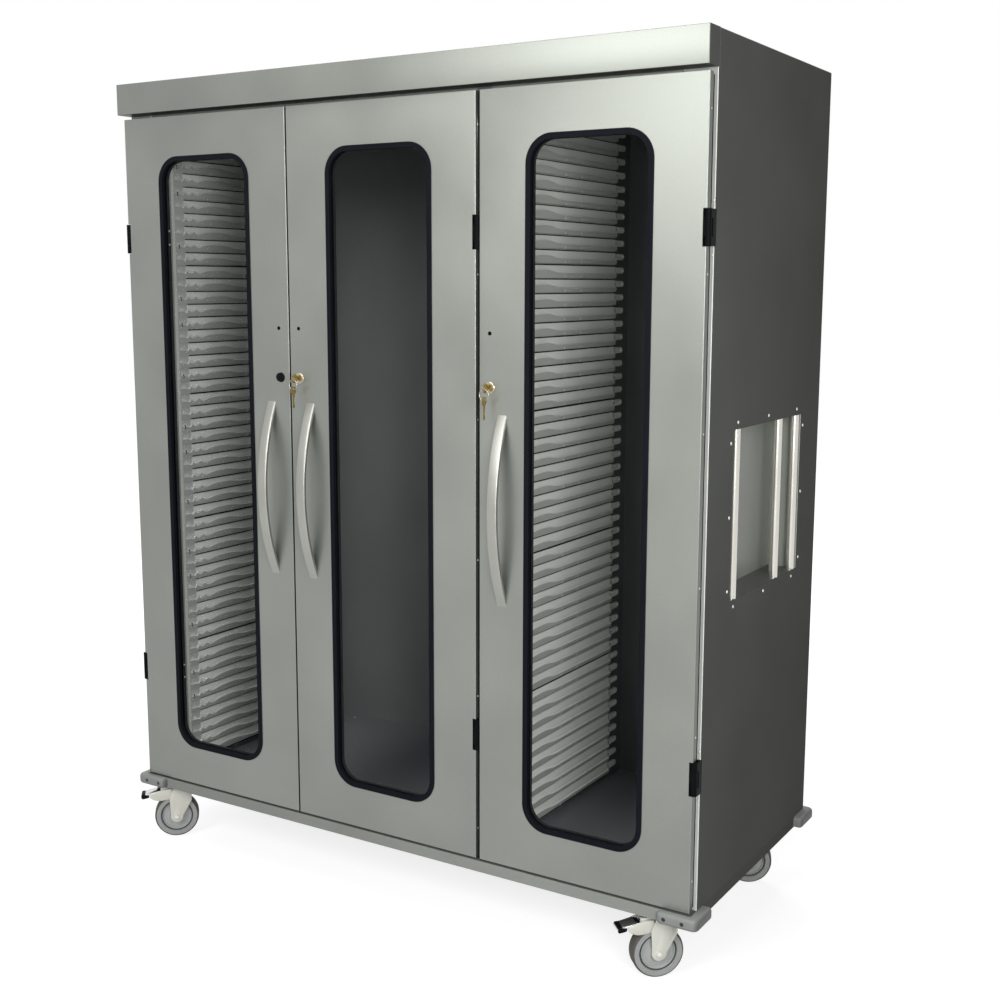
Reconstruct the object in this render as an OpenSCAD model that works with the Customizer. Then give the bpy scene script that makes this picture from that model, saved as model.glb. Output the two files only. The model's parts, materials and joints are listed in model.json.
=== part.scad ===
// Three-door storage cabinet on swivel casters, with glazed doors and tray rails.
// Origin: middle of the footprint, on the floor. +Z up, the doors face -Y. Sizes in millimetres.

/* [Body] */
// Depth from the doors' front face to the body's rear edge
body_d = 649; // [620:1:680]
// How far each side panel stands out past the door row
side_out = 3.9; // [3:0.1:6]
// Sheet thickness of the body
sheet = 1.5; // [1.2:0.1:1.8]
// Distance between the outer and inner side skins
side_cavity = 66.7; // [65.5:0.1:75]
// How far the back panel is set in from the rear edge
back_set_in = 7.5; // [4:0.5:12]
// Width of the folded flanges at the rear
rear_flange = 20; // [15:1:30]
// Height of the fascia above the doors
fascia_h = 68.8; // [55:0.2:90]
// Gap between the doors and the fascia
fascia_gap = 9; // [6:0.5:12]
// How far the fascia stands in front of the doors
fascia_out = 16.5; // [10:0.5:20]
// Thickness of the divider
divider_t = 34; // [33.5:0.1:36]
// Height of the floor panel's front fold
sill_h = 25; // [18:1:40]

/* [Doors] */
// Width of each door
door_w = 486.1; // [470:0.1:500]
// Height of each door
door_h = 1590; // [1560:1:1620]
// Thickness of each door
door_t = 20; // [19:0.5:22]
// Depth of the outer skin
skin_d = 14.5; // [14:0.1:15.5]
// Gap between the left and middle doors
meeting_gap = 3.5; // [3:0.1:5]
// Gap between the middle and right doors
hinge_gap = 8.8; // [8.8:0.1:10]
// Radius of the doors' vertical front edges
edge_r = 2; // [1:0.1:3]
// Thickness of the door seals
seal_t = 6.3; // [6:0.1:8]
// Width of the door seals
seal_w = 8.5; // [6:0.1:8.5]

/* [Windows] */
// Window gasket's distance from the door's sides
window_side = 106.6; // [100:0.1:115]
// Window gasket's distance from the door's top
window_top = 89.7; // [80:0.1:110]
// Window gasket's distance from the door's bottom
window_bottom = 92.5; // [80:0.1:110]
// Corner radius of the gasket's outer outline
window_r = 57; // [45:1:70]
// Visible width of the gasket
gasket_w = 11; // [10:0.5:14]
// Height of the gasket's lip above the door
gasket_lip = 2; // [1:0.1:3]
// Thickness of the panes
glass_t = 4; // [3:0.5:5]

/* [Handles and locks] */
// Length of each bow handle
handle_l = 394; // [360:1:420]
// Width of the handle's strip
handle_w = 24; // [18:1:30]
// Thickness of the handle's strip
handle_t = 9; // [6:0.5:12]
// How far the bow stands out from the door
handle_out = 42; // [36:1:50]
// Height of the handle's lower end above the door's bottom
handle_z = 560; // [540:1:580]
// Handle's distance from the door's free edge
handle_x = 53.8; // [50:0.1:58]
// Height of the locks above the door's bottom
lock_z = 1008; // [1000:1:1012]
// Lock's distance from the door's free edge
lock_x = 24.7; // [24:0.1:26]
// Cover plug's distance from the left door's free edge
cover_x = 28.3; // [26:0.1:32]
// Radius of the lock's bezel
bezel_r = 12; // [11.5:0.1:13]
// Radius of the turning plug
plug_r = 7; // [6.5:0.1:7.2]
// Height of the small hole above the lock
small_hole_up = 108.5; // [90:0.5:130]

/* [Hinges] */
// Height of each hinge
hinge_h = 66.5; // [60:0.5:75]
// Distance of the upper hinges' centres from the door's top
hinge_top = 273.3; // [250:0.1:300]
// Height of the lower hinges' centres above the door's bottom
hinge_low = 274; // [250:1:300]
// Radius of the hinge barrel
barrel_r = 6.3; // [6:0.1:6.4]
// Radius of the hinge pin
pin_r = 3; // [2.5:0.1:3.5]

/* [Tray rails] */
// Number of rail modules in each stack
rail_modules = 5; // [4:1:5]
// Number of ribs in each module
rail_ribs = 10; // [8:1:10]
// Height from one rib to the next
rail_pitch = 31; // [28:0.5:31]
// Height of the groove between two ribs
rail_groove = 8; // [6:0.5:12]
// Height of the lowest module above the floor panel
rail_z = 15; // [10:1:20]
// Depth of each rail from the wall
rail_t = 12; // [10:0.5:15]

/* [Hand pockets] */
// Distance of the pocket from the doors' front face
pocket_y = 150; // [140:1:170]
// Length of the pocket's opening
pocket_l = 382; // [370:1:395]
// Height of the pocket's lower edge
pocket_z = 595; // [560:1:640]
// Height of the pocket's opening
pocket_h = 341; // [320:1:360]
// Width of the flange around the pocket
pocket_flange = 24; // [20:0.5:26]
// Radius of the grab bars
bar_r = 9.5; // [8:0.1:10]

/* [Base and casters] */
// Height of the base under the body
base_h = 24.8; // [20:0.2:35]
// Gap between the doors' bottom and the base
base_gap = 4; // [3:0.5:6]
// How far the bumpers stand out at the sides and rear
bumper_out = 20; // [16:1:25]
// How far the bumpers stand out at the front
bumper_front = 15; // [12:1:18]
// Overall height of the casters
caster_h = 138.2; // [135:0.1:142]
// Radius of the wheels
wheel_r = 54; // [50:0.5:55]
// Width of the tyres
tyre_w = 32; // [28:1:34]
// Distance of the wheels' axle behind the swivel axis
trail = 24; // [20:1:28]
// Direction of the front wheels' trail, in degrees from +X
front_turn = 223; // [205:1:240]
// Direction of the rear wheels' trail, in degrees from +X
rear_turn = 203; // [190:1:240]

/* [Hidden] */
$fn = 64;
eps = 0.01;
cut = 1;
fit = 0.3;
run_fit = 0.05;
row_w = 3 * door_w + meeting_gap + hinge_gap;
side_x = row_w / 2 + side_out;
left_free = door_w - row_w / 2;
middle_free = left_free + meeting_gap;
middle_hinge = middle_free + door_w;
right_free = middle_hinge + hinge_gap;
body_y = door_t + fit + seal_t;
top_z = door_h + fascia_gap + fascia_h;
base_z = -base_gap - base_h;
floor_z = base_z - caster_h;
mid_y = (body_d + bumper_out - handle_out) / 2;
liner_x = side_x - side_cavity;
back_y = body_d - back_set_in;
roof_z = top_z - sheet;
hinge_high = door_h - hinge_top;
fascia_deep = 4.4;
fascia_y = body_y + fascia_deep;
head_w = 18;
head_y = body_y + head_w;
head_down = 49;
divider_shift = 0.2;
divider_x = (middle_hinge + right_free) / 2 + divider_shift;
seal_shift = 0.5;
base_wall = 3;
base_skin = 2;
base_front = -2.7;
base_lip = 62;
floor_skin = 1.5;

skin_t = 1.5;
lip_w = 8;
lip_t = 1.5;
liner_in = 3;
gasket_under = 3;
gasket_deep = 12;
glass_in = 7;
glass_y = 6;
gasket_fit = 0.2;
window_w = door_w - 2 * window_side;
window_h = door_h - window_top - window_bottom;

axis_out = 1;
axis_y = 5;
notch_w = 8;
notch_gap = 1;
knuckle_h = 16.5;
leaf_t = 3;
leaf_near = 2.3;
leaf_l = 22;
foot_in = 4;
foot_t = 4;

bow_r = (pow(handle_l / 2, 2) + pow(handle_out, 2)) / (2 * handle_out);
bow_fn = 180;

case_r = 9.5;
bezel_t = 2;
stub_r = 4;
cam_w = 12;
cam_t = 2;
middle_cam_l = 34;
middle_cam_y = 22;
right_cam_l = 18;
right_cam_y = 31;
key_t = 1.6;
key_bow_r = 10;
key_bow_y = -17;
key_hole_r = 4;
key_hole_y = -21.5;
key_stem_w = 6;
wire_r = 0.8;
wire_fn = 24;
ring_r = 11;
ring_drop = 2.4;
spare_hole_r = 3;
spare_bow_r = 9;
spare_l = 48;
spare_bow_up = 2;
small_hole_r = 4.25;
cover_t = 1.5;
rivet_r = 3.6;
rivet_t = 0.8;
edge_rivets = 6;
edge_rivet_z = 64.1;
edge_rivet_pitch = (door_h - 2 * edge_rivet_z) / (edge_rivets - 1);
edge_rivet_y = 9;

rail_back = 2.5;
rail_y = 66;
rail_end = 600;
rail_seam = 0.3;
tab_l = 15;
tab_h = 14;
tab_up = 6.5;
tab_t = 4;

pocket_wall = 1.5;
pocket_room = 2.2;
pocket_deep = side_cavity - sheet - pocket_room;
bar_places = [32, 267, 369];
pocket_rivet_rows = [20, 186, 355];
pocket_rivet_cols = [23, 170, 316];
pocket_rivet_out = 13.5;

bumper_arm = 68;
bumper_side_arm = 65;
bumper_r = 14;
bumper_end_r = 7;
bumper_screws = [32, 71];
bumper_screw_r = 4.5;
flange_screw_r = 2.2;
flange_screw_t = 2;
flange_screw_off = 48.4;

swivel_in = 73.2;
swivel_x = side_x - swivel_in;
swivel_front = 55;
swivel_rear_in = 89;
swivel_rear = body_d - swivel_rear_in;
plate_l = 100;
plate_w = 80;
plate_t = 3;
race_r = 24;
race_t = 6;
kingpin_r = 5;
crown_r = 27;
crown_t = 6;
nut_r = 9;
nut_t = 4;
cheek_t = 3;
axle_r = 4;
axle_z = wheel_r - caster_h;
hub_out = 2.2;
hub_half = tyre_w / 2 + hub_out;
hub_r = 11;
hub_foot_r = 14;
hub_foot = 2;
rim_r = 38;
rim_edge_r = 34.5;
rim_foot_r = 32.5;
wheel_half = 13;
web_half = 9;
tyre_lip = 2;
tread_in = 4;
tread_step = 1;
tread_flat = 6;
cheek_half = 14;
cheek_front = 26;
cheek_rear = 34;
boss_r = 15;
cap_r = 7;
cap_t = 2;
pedal_x = 57;
pedal_z = -22;
wing_half = 13;
wing_t = 3;
lug_t = 3;
lug_r = 5;
pedal_pin_r = 2;
pedal_hub_r = 4.5;
pedal_arm = [14, 7];
pedal_arm_low = 2.5;
pedal_plate = [[10, -3], [53, -10], [53, -5], [12, 5]];
pedal_side = 3;
shoe = [8, 18];
shoe_x = 4;

steel = [0.72, 0.74, 0.71];
dark = [0.24, 0.25, 0.26];
black = [0.06, 0.06, 0.07];
plastic = [0.52, 0.53, 0.52];
alloy = [0.7, 0.7, 0.67];
brass_c = [0.75, 0.62, 0.3];
cream = [0.82, 0.81, 0.76];
rubber_c = [0.5, 0.5, 0.49];
pane = [0.75, 0.8, 0.8, 0.3];

// Puts parts drawn from the doors' front face and bottom edge into the cabinet's own frame
module place() {
  translate([0, -mid_y, -floor_z]) children();
}

// Draws a box between two corners
module block(low, high) {
  translate(low) cube(high - low);
}

// Draws the children and their mirror image at the other side
module both_sides() {
  children();
  mirror([1, 0, 0]) children();
}

// Stands a flat outline up in the X-Z plane between two depths
module stand(y_low, y_high) {
  translate([0, y_high, 0]) rotate([90, 0, 0]) linear_extrude(y_high - y_low) children();
}

// Stands a flat outline up on both sides of Y zero
module stand_pair(y_in, y_out) {
  stand(y_in, y_out) children();
  stand(-y_out, -y_in) children();
}

// Outline made of a half above the X axis and its mirror image
module mirrored_outline(half) {
  polygon(concat(half, [for (i = [len(half) - 1:-1:0]) [half[i][0], -half[i][1]]]));
}

// Round bar along Y between two depths
module bar_y(r, y_low, y_high) {
  stand(y_low, y_high) circle(r);
}

// Rounded rectangle about its middle
module rounded(w, h, r) {
  square([w - 2 * r, h], center = true);
  square([w, h - 2 * r], center = true);
  for (sx = [-1, 1], sz = [-1, 1]) {
    translate([sx * (w / 2 - r), sz * (h / 2 - r)]) circle(r);
  }
}

// Rounds off the corner of a plan at a point, towards the given quadrant
module corner_cut(at, r, dir) {
  translate(at) difference() {
    translate([dir[0] > 0 ? 0 : -cut - r, dir[1] > 0 ? 0 : -cut - r]) square(r + cut);
    circle(r);
  }
}

module base_frame_shape() {
  difference() {
    block([-side_x, base_front, base_z], [side_x, body_d, -base_gap]);
    block([base_wall - side_x, base_front + base_wall, base_z + base_skin],
      [side_x - base_wall, body_d - base_wall, -base_gap - base_skin]);
    block([base_lip - side_x, base_front + base_lip, -base_gap - base_skin - cut],
      [side_x - base_lip, body_d - base_lip, cut]);
  }
}

// Plan of one bumper at the right: the corner lies at side_x, y_edge, and dir is -1 at the front
module bumper_plan(y_edge, out, dir) {
  far = side_x + bumper_out;
  end_y = y_edge + dir * out;
  arm_y = y_edge - dir * bumper_side_arm;
  difference() {
    translate([0, min(end_y, arm_y)]) translate([far - bumper_arm - bumper_out, 0])
      square([bumper_arm + bumper_out, bumper_side_arm + out]);
    translate([side_x - bumper_arm - cut, min(y_edge, arm_y) - (dir > 0 ? cut : 0)])
      square([bumper_arm + cut, bumper_side_arm + cut]);
    corner_cut([far - bumper_r, end_y - dir * bumper_r], bumper_r, [1, dir]);
    corner_cut([side_x - bumper_arm + bumper_end_r, end_y - dir * bumper_end_r], bumper_end_r, [-1, dir]);
    corner_cut([far - bumper_end_r, arm_y + dir * bumper_end_r], bumper_end_r, [1, -dir]);
  }
}

module corner_bumpers_shape() {
  translate([0, 0, base_z]) linear_extrude(base_h) {
    both_sides() bumper_plan(base_front, bumper_front, -1);
    both_sides() bumper_plan(body_d, bumper_out, 1);
  }
}

module cabinet_screws_shape() {
  front = base_front - bumper_front;
  both_sides() {
    for (inset = bumper_screws) {
      translate([side_x + bumper_out - inset, 0, base_z + base_h / 2])
        bar_y(bumper_screw_r, front - rivet_t, front);
    }
    for (z = [hinge_low, hinge_high], up = [-1, 1]) {
      translate([side_x - flange_screw_r, 0, z + up * flange_screw_off])
        bar_y(flange_screw_r, body_y - flange_screw_t, body_y);
    }
  }
}

module floor_panel_shape() {
  wall = side_x - sheet - fit;
  difference() {
    block([-wall, body_y + sheet, -base_gap], [wall, back_y, 0]);
    block([sheet - wall, body_y + 2 * sheet, -base_gap - cut], [wall - sheet, back_y - sheet, -floor_skin]);
  }
  for (span = [[-liner_x + fit, divider_x - divider_t / 2], [divider_x + divider_t / 2, liner_x - fit]]) {
    block([span[0] + eps, body_y, -base_gap], [span[1] - eps, body_y + sheet, sill_h]);
  }
}

module back_panel_shape() {
  block([sheet - side_x, back_y, -base_gap], [side_x - sheet, back_y + sheet, roof_z]);
}

module top_panel_shape() {
  block([-side_x, fascia_y + fit, roof_z], [side_x, body_d, top_z]);
  block([-liner_x, body_y, roof_z - sheet], [liner_x, head_y, roof_z]);
  block([-liner_x, fascia_y + fit, roof_z - sheet], [liner_x, head_y, top_z]);
  block([rear_flange - side_x, body_d - sheet, roof_z - rear_flange], [side_x - rear_flange, body_d, top_z]);
  for (span = [[-liner_x, divider_x - divider_t / 2], [divider_x + divider_t / 2, liner_x]]) {
    block([span[0] + fit, body_y, door_h - head_down + fascia_gap],
      [span[1] - fit, body_y + sheet, roof_z - eps]);
  }
}

// The right side panel; the left one is its mirror image
module side_panel_shape() {
  difference() {
    union() {
      block([side_x - sheet, body_y, -base_gap], [side_x, body_d, roof_z]);
      block([liner_x, body_y, -base_gap], [side_x, body_y + sheet, roof_z]);
      block([side_x - rear_flange, body_d - sheet, -base_gap], [side_x, body_d, roof_z]);
    }
    block([side_x - sheet - fit, 0, door_h + fascia_gap - fit],
      [side_x + cut, fascia_y + fit, top_z + cut]);
    block([side_x - sheet - cut, pocket_y, pocket_z],
      [side_x + cut, pocket_y + pocket_l, pocket_z + pocket_h]);
  }
}

module inner_walls_shape() {
  both_sides() {
    block([liner_x - sheet, body_y + sheet, 0], [liner_x, back_y, roof_z - sheet - fit]);
  }
}

module divider_shape() {
  half = divider_t / 2;
  head = roof_z - sheet - fit;
  difference() {
    union() {
      block([divider_x - half, body_y + sheet, 0], [divider_x + half, back_y, head]);
      block([divider_x - half, body_y, -base_gap], [divider_x + half, body_y + sheet + eps, head]);
    }
    block([divider_x - half + sheet, body_y + 2 * sheet, -cut],
      [divider_x + half - sheet, back_y - sheet, head + cut]);
    block([divider_x + half - sheet - cut, right_cam_y - cam_t, lock_z - cam_w],
      [divider_x + half + cut, right_cam_y + 2 * cam_t, lock_z + 2 * cam_w]);
  }
}

module fascia_shape() {
  low = door_h + fascia_gap;
  difference() {
    block([-side_x, -fascia_out, low], [side_x, fascia_y, top_z]);
    block([sheet - side_x, sheet - fascia_out, low + sheet], [side_x - sheet, fascia_y + cut, top_z - sheet]);
    block([sheet - side_x, body_y, low - cut], [side_x - sheet, fascia_y + cut, top_z - sheet]);
  }
}

module seal_loop(x_low, x_high) {
  z_low = base_gap;
  z_high = door_h - base_gap;
  difference() {
    block([x_low, body_y - seal_t, z_low], [x_high, body_y, z_high]);
    block([x_low + seal_w, 0, z_low + seal_w], [x_high - seal_w, body_y + cut, z_high - seal_w]);
  }
}

module door_seals_shape() {
  edge = row_w / 2 + axis_out - foot_in - fit;
  seal_loop(-edge, middle_hinge + axis_out - foot_in - fit);
  seal_loop(right_free - seal_shift, edge);
}

// Section of one rail module, depth along X and height along Y
module rail_section() {
  module_h = rail_ribs * rail_pitch - rail_seam;
  square([rail_back, module_h]);
  for (i = [0:rail_ribs - 1]) {
    translate([0, i * rail_pitch + rail_groove / 2]) square([rail_t, rail_pitch - rail_groove]);
  }
}

// One stack of rails on a wall whose face lies at X zero, facing +X
module rail_stack() {
  for (m = [0:rail_modules - 1]) {
    translate([0, rail_end, rail_z + m * rail_ribs * rail_pitch]) {
      rotate([90, 0, 0]) linear_extrude(rail_end - rail_y) rail_section();
      for (i = [0:rail_ribs - 1]) {
        translate([0, 0, (i + 0.5) * rail_pitch + tab_up]) rail_tab();
      }
    }
  }
}

// Rounded tab behind each rib
module rail_tab() {
  rotate([90, 0, 90]) linear_extrude(tab_t) {
    translate([-cut, -tab_h / 2]) square([tab_l - tab_h / 2 + cut, tab_h]);
    translate([tab_l - tab_h / 2, 0]) circle(tab_h / 2);
  }
}

module wall_tray_rails_shape() {
  both_sides() translate([sheet - liner_x, 0, 0]) rail_stack();
}

module divider_tray_rails_shape() {
  translate([divider_x, 0, 0]) both_sides() translate([divider_t / 2, 0, 0]) rail_stack();
}

module hand_pocket() {
  inside = side_x - sheet;
  difference() {
    union() {
      block([inside - pocket_wall, pocket_y - pocket_flange, pocket_z - pocket_flange],
        [inside, pocket_y + pocket_l + pocket_flange, pocket_z + pocket_h + pocket_flange]);
      block([inside - pocket_deep - pocket_wall, pocket_y - pocket_wall, pocket_z - pocket_wall],
        [inside, pocket_y + pocket_l + pocket_wall, pocket_z + pocket_h + pocket_wall]);
    }
    block([inside - pocket_deep, pocket_y, pocket_z],
      [inside + cut, pocket_y + pocket_l, pocket_z + pocket_h]);
  }
}

module grab_bars_shape() {
  both_sides() {
    for (dy = bar_places) {
      translate([side_x - bar_r, pocket_y + dy, pocket_z]) cylinder(r = bar_r, h = pocket_h);
    }
  }
}

// Domed head standing on the right side panel
module side_rivet(y, z) {
  translate([side_x, y, z]) rotate([0, 90, 0]) {
    cylinder(r1 = rivet_r, r2 = rivet_r / 2, h = 2 * rivet_t);
  }
}

module pocket_rivets_shape() {
  both_sides() {
    for (dz = pocket_rivet_cols) {
      side_rivet(pocket_y - pocket_rivet_out, pocket_z + dz);
      side_rivet(pocket_y + pocket_l + pocket_rivet_out, pocket_z + dz);
    }
    for (dy = pocket_rivet_rows) {
      side_rivet(pocket_y + dy, pocket_z - pocket_rivet_out);
      side_rivet(pocket_y + dy, pocket_z + pocket_h + pocket_rivet_out);
    }
  }
}

// Body half of a hinge, drawn for a door whose hinge edge lies at x
module hinge_body_half(x) {
  half = hinge_h / 2;
  translate([x + axis_out, axis_y, 0]) {
    translate([0, 0, -half]) cylinder(r = pin_r, h = hinge_h);
    for (low = [-half, half - knuckle_h]) {
      translate([0, 0, low]) cylinder(r = barrel_r, h = knuckle_h);
      block([leaf_near, 0, low], [barrel_r, body_y - axis_y, low + knuckle_h]);
    }
    block([leaf_near, barrel_r + 2 * fit, -half], [barrel_r, body_y - axis_y, half]);
    block([-foot_in, body_y - axis_y - foot_t, -half], [barrel_r, body_y - axis_y, half]);
  }
}

module hinge_body_halves_shape() {
  for (z = [hinge_low, hinge_high]) {
    translate([0, 0, z]) {
      both_sides() hinge_body_half(row_w / 2);
      hinge_body_half(middle_hinge);
    }
  }
}

module caster_place(side, front) {
  y = front ? swivel_front : swivel_rear;
  turn = front ? front_turn : rear_turn;
  translate([side * swivel_x, y, base_z]) rotate([0, 0, turn]) children();
}

module caster_plates_shape() {
  for (side = [-1, 1], y = [swivel_front, swivel_rear]) {
    translate([side * swivel_x, y, base_z]) {
      block([-plate_l / 2, -plate_w / 2, -plate_t], [plate_l / 2, plate_w / 2, 0]);
      translate([0, 0, -plate_t - race_t]) cylinder(r = race_r, h = race_t);
      translate([0, 0, -plate_t - race_t - crown_t - 2 * fit]) cylinder(r = kingpin_r, h = crown_t + race_t);
      translate([0, 0, -plate_t - race_t - crown_t - 2 * fit - nut_t]) cylinder(r = nut_r, h = nut_t);
    }
  }
}

// Swivel fork, drawn with the swivel axis at the origin and the wheel towards +X
module fork(pedal) {
  crown_top = -plate_t - race_t - fit;
  cheek_in = hub_half + fit;
  cheek_out = cheek_in + cheek_t;
  difference() {
    union() {
      translate([0, 0, crown_top - crown_t]) cylinder(r = crown_r, h = crown_t);
      block([0, -cheek_out, crown_top - crown_t], [crown_r + cheek_t, cheek_out, crown_top]);
      stand_pair(cheek_in, cheek_out) {
        polygon([[-crown_r / 2, crown_top], [crown_r + cheek_t, crown_top],
          [crown_r + cheek_half, crown_top - cheek_front], [trail + cheek_half, axle_z],
          [trail - cheek_half, axle_z], [-crown_r / 2, crown_top - cheek_rear]]);
        translate([trail, axle_z]) circle(boss_r);
      }
      if (pedal) {
        block([crown_r, -wing_half, crown_top - wing_t], [pedal_x + lug_r, wing_half, crown_top]);
        stand_pair(wing_half - lug_t, wing_half) {
          polygon([[crown_r / 2, crown_top], [pedal_x + lug_r, crown_top], [pedal_x + lug_r, pedal_z],
            [pedal_x, pedal_z - lug_r], [crown_r / 2, pedal_z - lug_r]]);
          translate([pedal_x, pedal_z]) circle(lug_r);
        }
      }
    }
    translate([0, 0, crown_top - crown_t - cut]) cylinder(r = kingpin_r + run_fit, h = crown_t + 2 * cut);
  }
  translate([trail, 0, axle_z]) {
    bar_y(axle_r, -cheek_out - cap_t, cheek_out + cap_t);
    stand_pair(cheek_out, cheek_out + 2 * cap_t) circle(cap_r);
  }
  if (pedal) {
    translate([pedal_x, 0, pedal_z]) bar_y(pedal_pin_r, -wing_half, wing_half);
  }
}

module wheel() {
  translate([trail, 0, axle_z]) rotate([90, 0, 0]) rotate_extrude() {
    mirrored_outline([[axle_r + run_fit, hub_half], [hub_r, hub_half], [hub_foot_r, web_half + hub_foot],
      [rim_foot_r, web_half], [rim_edge_r, wheel_half], [rim_r, wheel_half]]);
  }
}

module tyre() {
  half = tyre_w / 2;
  translate([trail, 0, axle_z]) rotate([90, 0, 0]) rotate_extrude() {
    mirrored_outline([[rim_r + run_fit, wheel_half], [rim_r + tyre_lip, half], [wheel_r - tread_in, half],
      [wheel_r - tread_step, half - 2 * tread_step], [wheel_r, half - tread_flat]]);
  }
}

// Brake pedal with its shoe over the tyre
module pedal() {
  half = wing_half - lug_t - fit;
  difference() {
    union() {
      translate([pedal_x, 0, pedal_z]) bar_y(pedal_hub_r, -half, half);
      stand(-half, half) {
        translate([pedal_x, pedal_z - pedal_arm_low]) square(pedal_arm);
        translate([pedal_x + shoe_x, pedal_z - shoe[1]]) square(shoe);
      }
      stand(-wing_half - pedal_side, wing_half + pedal_side) {
        translate([pedal_x, pedal_z]) polygon(pedal_plate);
      }
    }
    translate([pedal_x, 0, pedal_z]) bar_y(pedal_pin_r + run_fit, -half - cut, half + cut);
  }
}

// Puts a door drawn from its free edge at x zero to its hinge edge into the row
module at_left() {
  translate([left_free, 0, 0]) mirror([1, 0, 0]) children();
}

module at_middle() {
  translate([middle_free, 0, 0]) children();
}

module at_right() {
  translate([right_free, 0, 0]) children();
}

// Window outline, set in from the gasket's outer edge
module window(inset, y_low, y_high) {
  translate([door_w / 2, 0, window_bottom + window_h / 2]) stand(y_low, y_high) {
    rounded(window_w - 2 * inset, window_h - 2 * inset, window_r - inset);
  }
}

// Space around each hinge at the door's hinge edge
module hinge_notches() {
  for (z = [hinge_low, hinge_high]) {
    block([door_w - notch_w, -cut, z - hinge_h / 2 - notch_gap],
      [door_w + cut, door_t + cut, z + hinge_h / 2 + notch_gap]);
  }
}

module door_skin(lock) {
  difference() {
    union() {
      linear_extrude(door_h) difference() {
        square([door_w, skin_d]);
        corner_cut([edge_r, edge_r], edge_r, [-1, -1]);
        corner_cut([door_w - edge_r, edge_r], edge_r, [1, -1]);
      }
      for (i = [0:edge_rivets - 1]) {
        translate([-rivet_t, edge_rivet_y, edge_rivet_z + i * edge_rivet_pitch])
          rotate([0, 90, 0]) cylinder(r = rivet_r / 2, h = door_w + 2 * rivet_t);
      }
    }
    block([skin_t, skin_t, skin_t], [door_w - skin_t, skin_d - lip_t, door_h - skin_t]);
    block([lip_w, skin_t, lip_w], [door_w - lip_w, skin_d + cut, door_h - lip_w]);
    window(gasket_under - gasket_fit, -cut, door_t);
    hinge_notches();
    translate([lock, 0, lock_z]) bar_y(case_r + gasket_fit, -cut, door_t);
    translate([lock, 0, lock_z + small_hole_up]) bar_y(small_hole_r, -cut, skin_t + cut);
  }
}

module door_liner(lock, drilled) {
  difference() {
    union() {
      difference() {
        block([liner_in, skin_d, liner_in], [door_w - liner_in, door_t, door_h - liner_in]);
        block([liner_in + skin_t, skin_d - cut, liner_in + skin_t],
          [door_w - liner_in - skin_t, door_t - skin_t, door_h - liner_in - skin_t]);
      }
      window(gasket_w - skin_t, gasket_deep, door_t);
    }
    window(gasket_w, 0, door_t + cut);
    hinge_notches();
    if (drilled) {
      translate([lock, 0, lock_z]) bar_y(stub_r + fit, 0, door_t + cut);
    }
  }
}

module glass() {
  window(glass_in, glass_y, glass_y + glass_t);
}

module gasket() {
  difference() {
    union() {
      window(0, -gasket_lip, 0);
      window(gasket_under, -eps, gasket_deep);
    }
    window(gasket_w, -gasket_lip - cut, door_t + cut);
    window(glass_in, glass_y, glass_y + glass_t);
  }
}

module bow_handle() {
  translate([handle_x - handle_w / 2, 0, handle_z + handle_l / 2]) rotate([90, 0, 90])
    linear_extrude(handle_w) intersection() {
      translate([bow_r - handle_out, 0]) difference() {
        circle(bow_r, $fn = bow_fn);
        circle(bow_r - handle_t, $fn = bow_fn);
      }
      translate([-handle_out - cut, -handle_l / 2]) square([handle_out + cut, handle_l]);
    }
}

// Door half of a hinge, drawn at the door's hinge edge
module hinge_door_half() {
  half = hinge_h / 2 - knuckle_h - fit;
  difference() {
    translate([door_w + axis_out, axis_y, 0]) {
      translate([0, 0, -half]) cylinder(r = barrel_r, h = 2 * half);
      block([-leaf_l - axis_out, skin_t - axis_y, -half], [-axis_out, skin_t + leaf_t - axis_y, half]);
      block([-leaf_l - axis_out, skin_t - axis_y, -hinge_h / 2],
        [-notch_w - 2 * axis_out, skin_t + leaf_t - axis_y, hinge_h / 2]);
    }
    translate([door_w + axis_out, axis_y, -hinge_h]) cylinder(r = pin_r + run_fit, h = 2 * hinge_h);
  }
}

module hinge_door_halves() {
  for (z = [hinge_low, hinge_high]) {
    translate([0, 0, z]) hinge_door_half();
  }
}

module lock_case() {
  translate([lock_x, 0, lock_z]) difference() {
    union() {
      bar_y(bezel_r, -bezel_t, 0);
      bar_y(case_r, -eps, door_t - skin_t);
    }
    bar_y(plug_r + run_fit, -bezel_t - cut, door_t);
  }
}

// Turning plug with its cam pointing up and a key standing in it
module lock_plug(cam_y, cam_l) {
  translate([lock_x, 0, lock_z]) {
    bar_y(plug_r, -bezel_t - fit, door_t - skin_t - fit);
    bar_y(stub_r, 0, cam_y + 2 * cam_t);
    stand(cam_y, cam_y + cam_t) {
      circle(cam_w / 2);
      translate([-cam_w / 2, 0]) square([cam_w, cam_l - cam_w / 2]);
      translate([0, cam_l - cam_w / 2]) circle(cam_w / 2);
    }
    rotate([90, 0, 90]) translate([0, 0, -key_t / 2]) linear_extrude(key_t) {
      translate([key_bow_y + key_bow_r / 2, -key_stem_w / 2]) square([-key_bow_y, key_stem_w]);
      difference() {
        translate([key_bow_y, 0]) circle(key_bow_r);
        translate([key_hole_y, 0]) circle(key_hole_r);
      }
    }
  }
}

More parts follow.
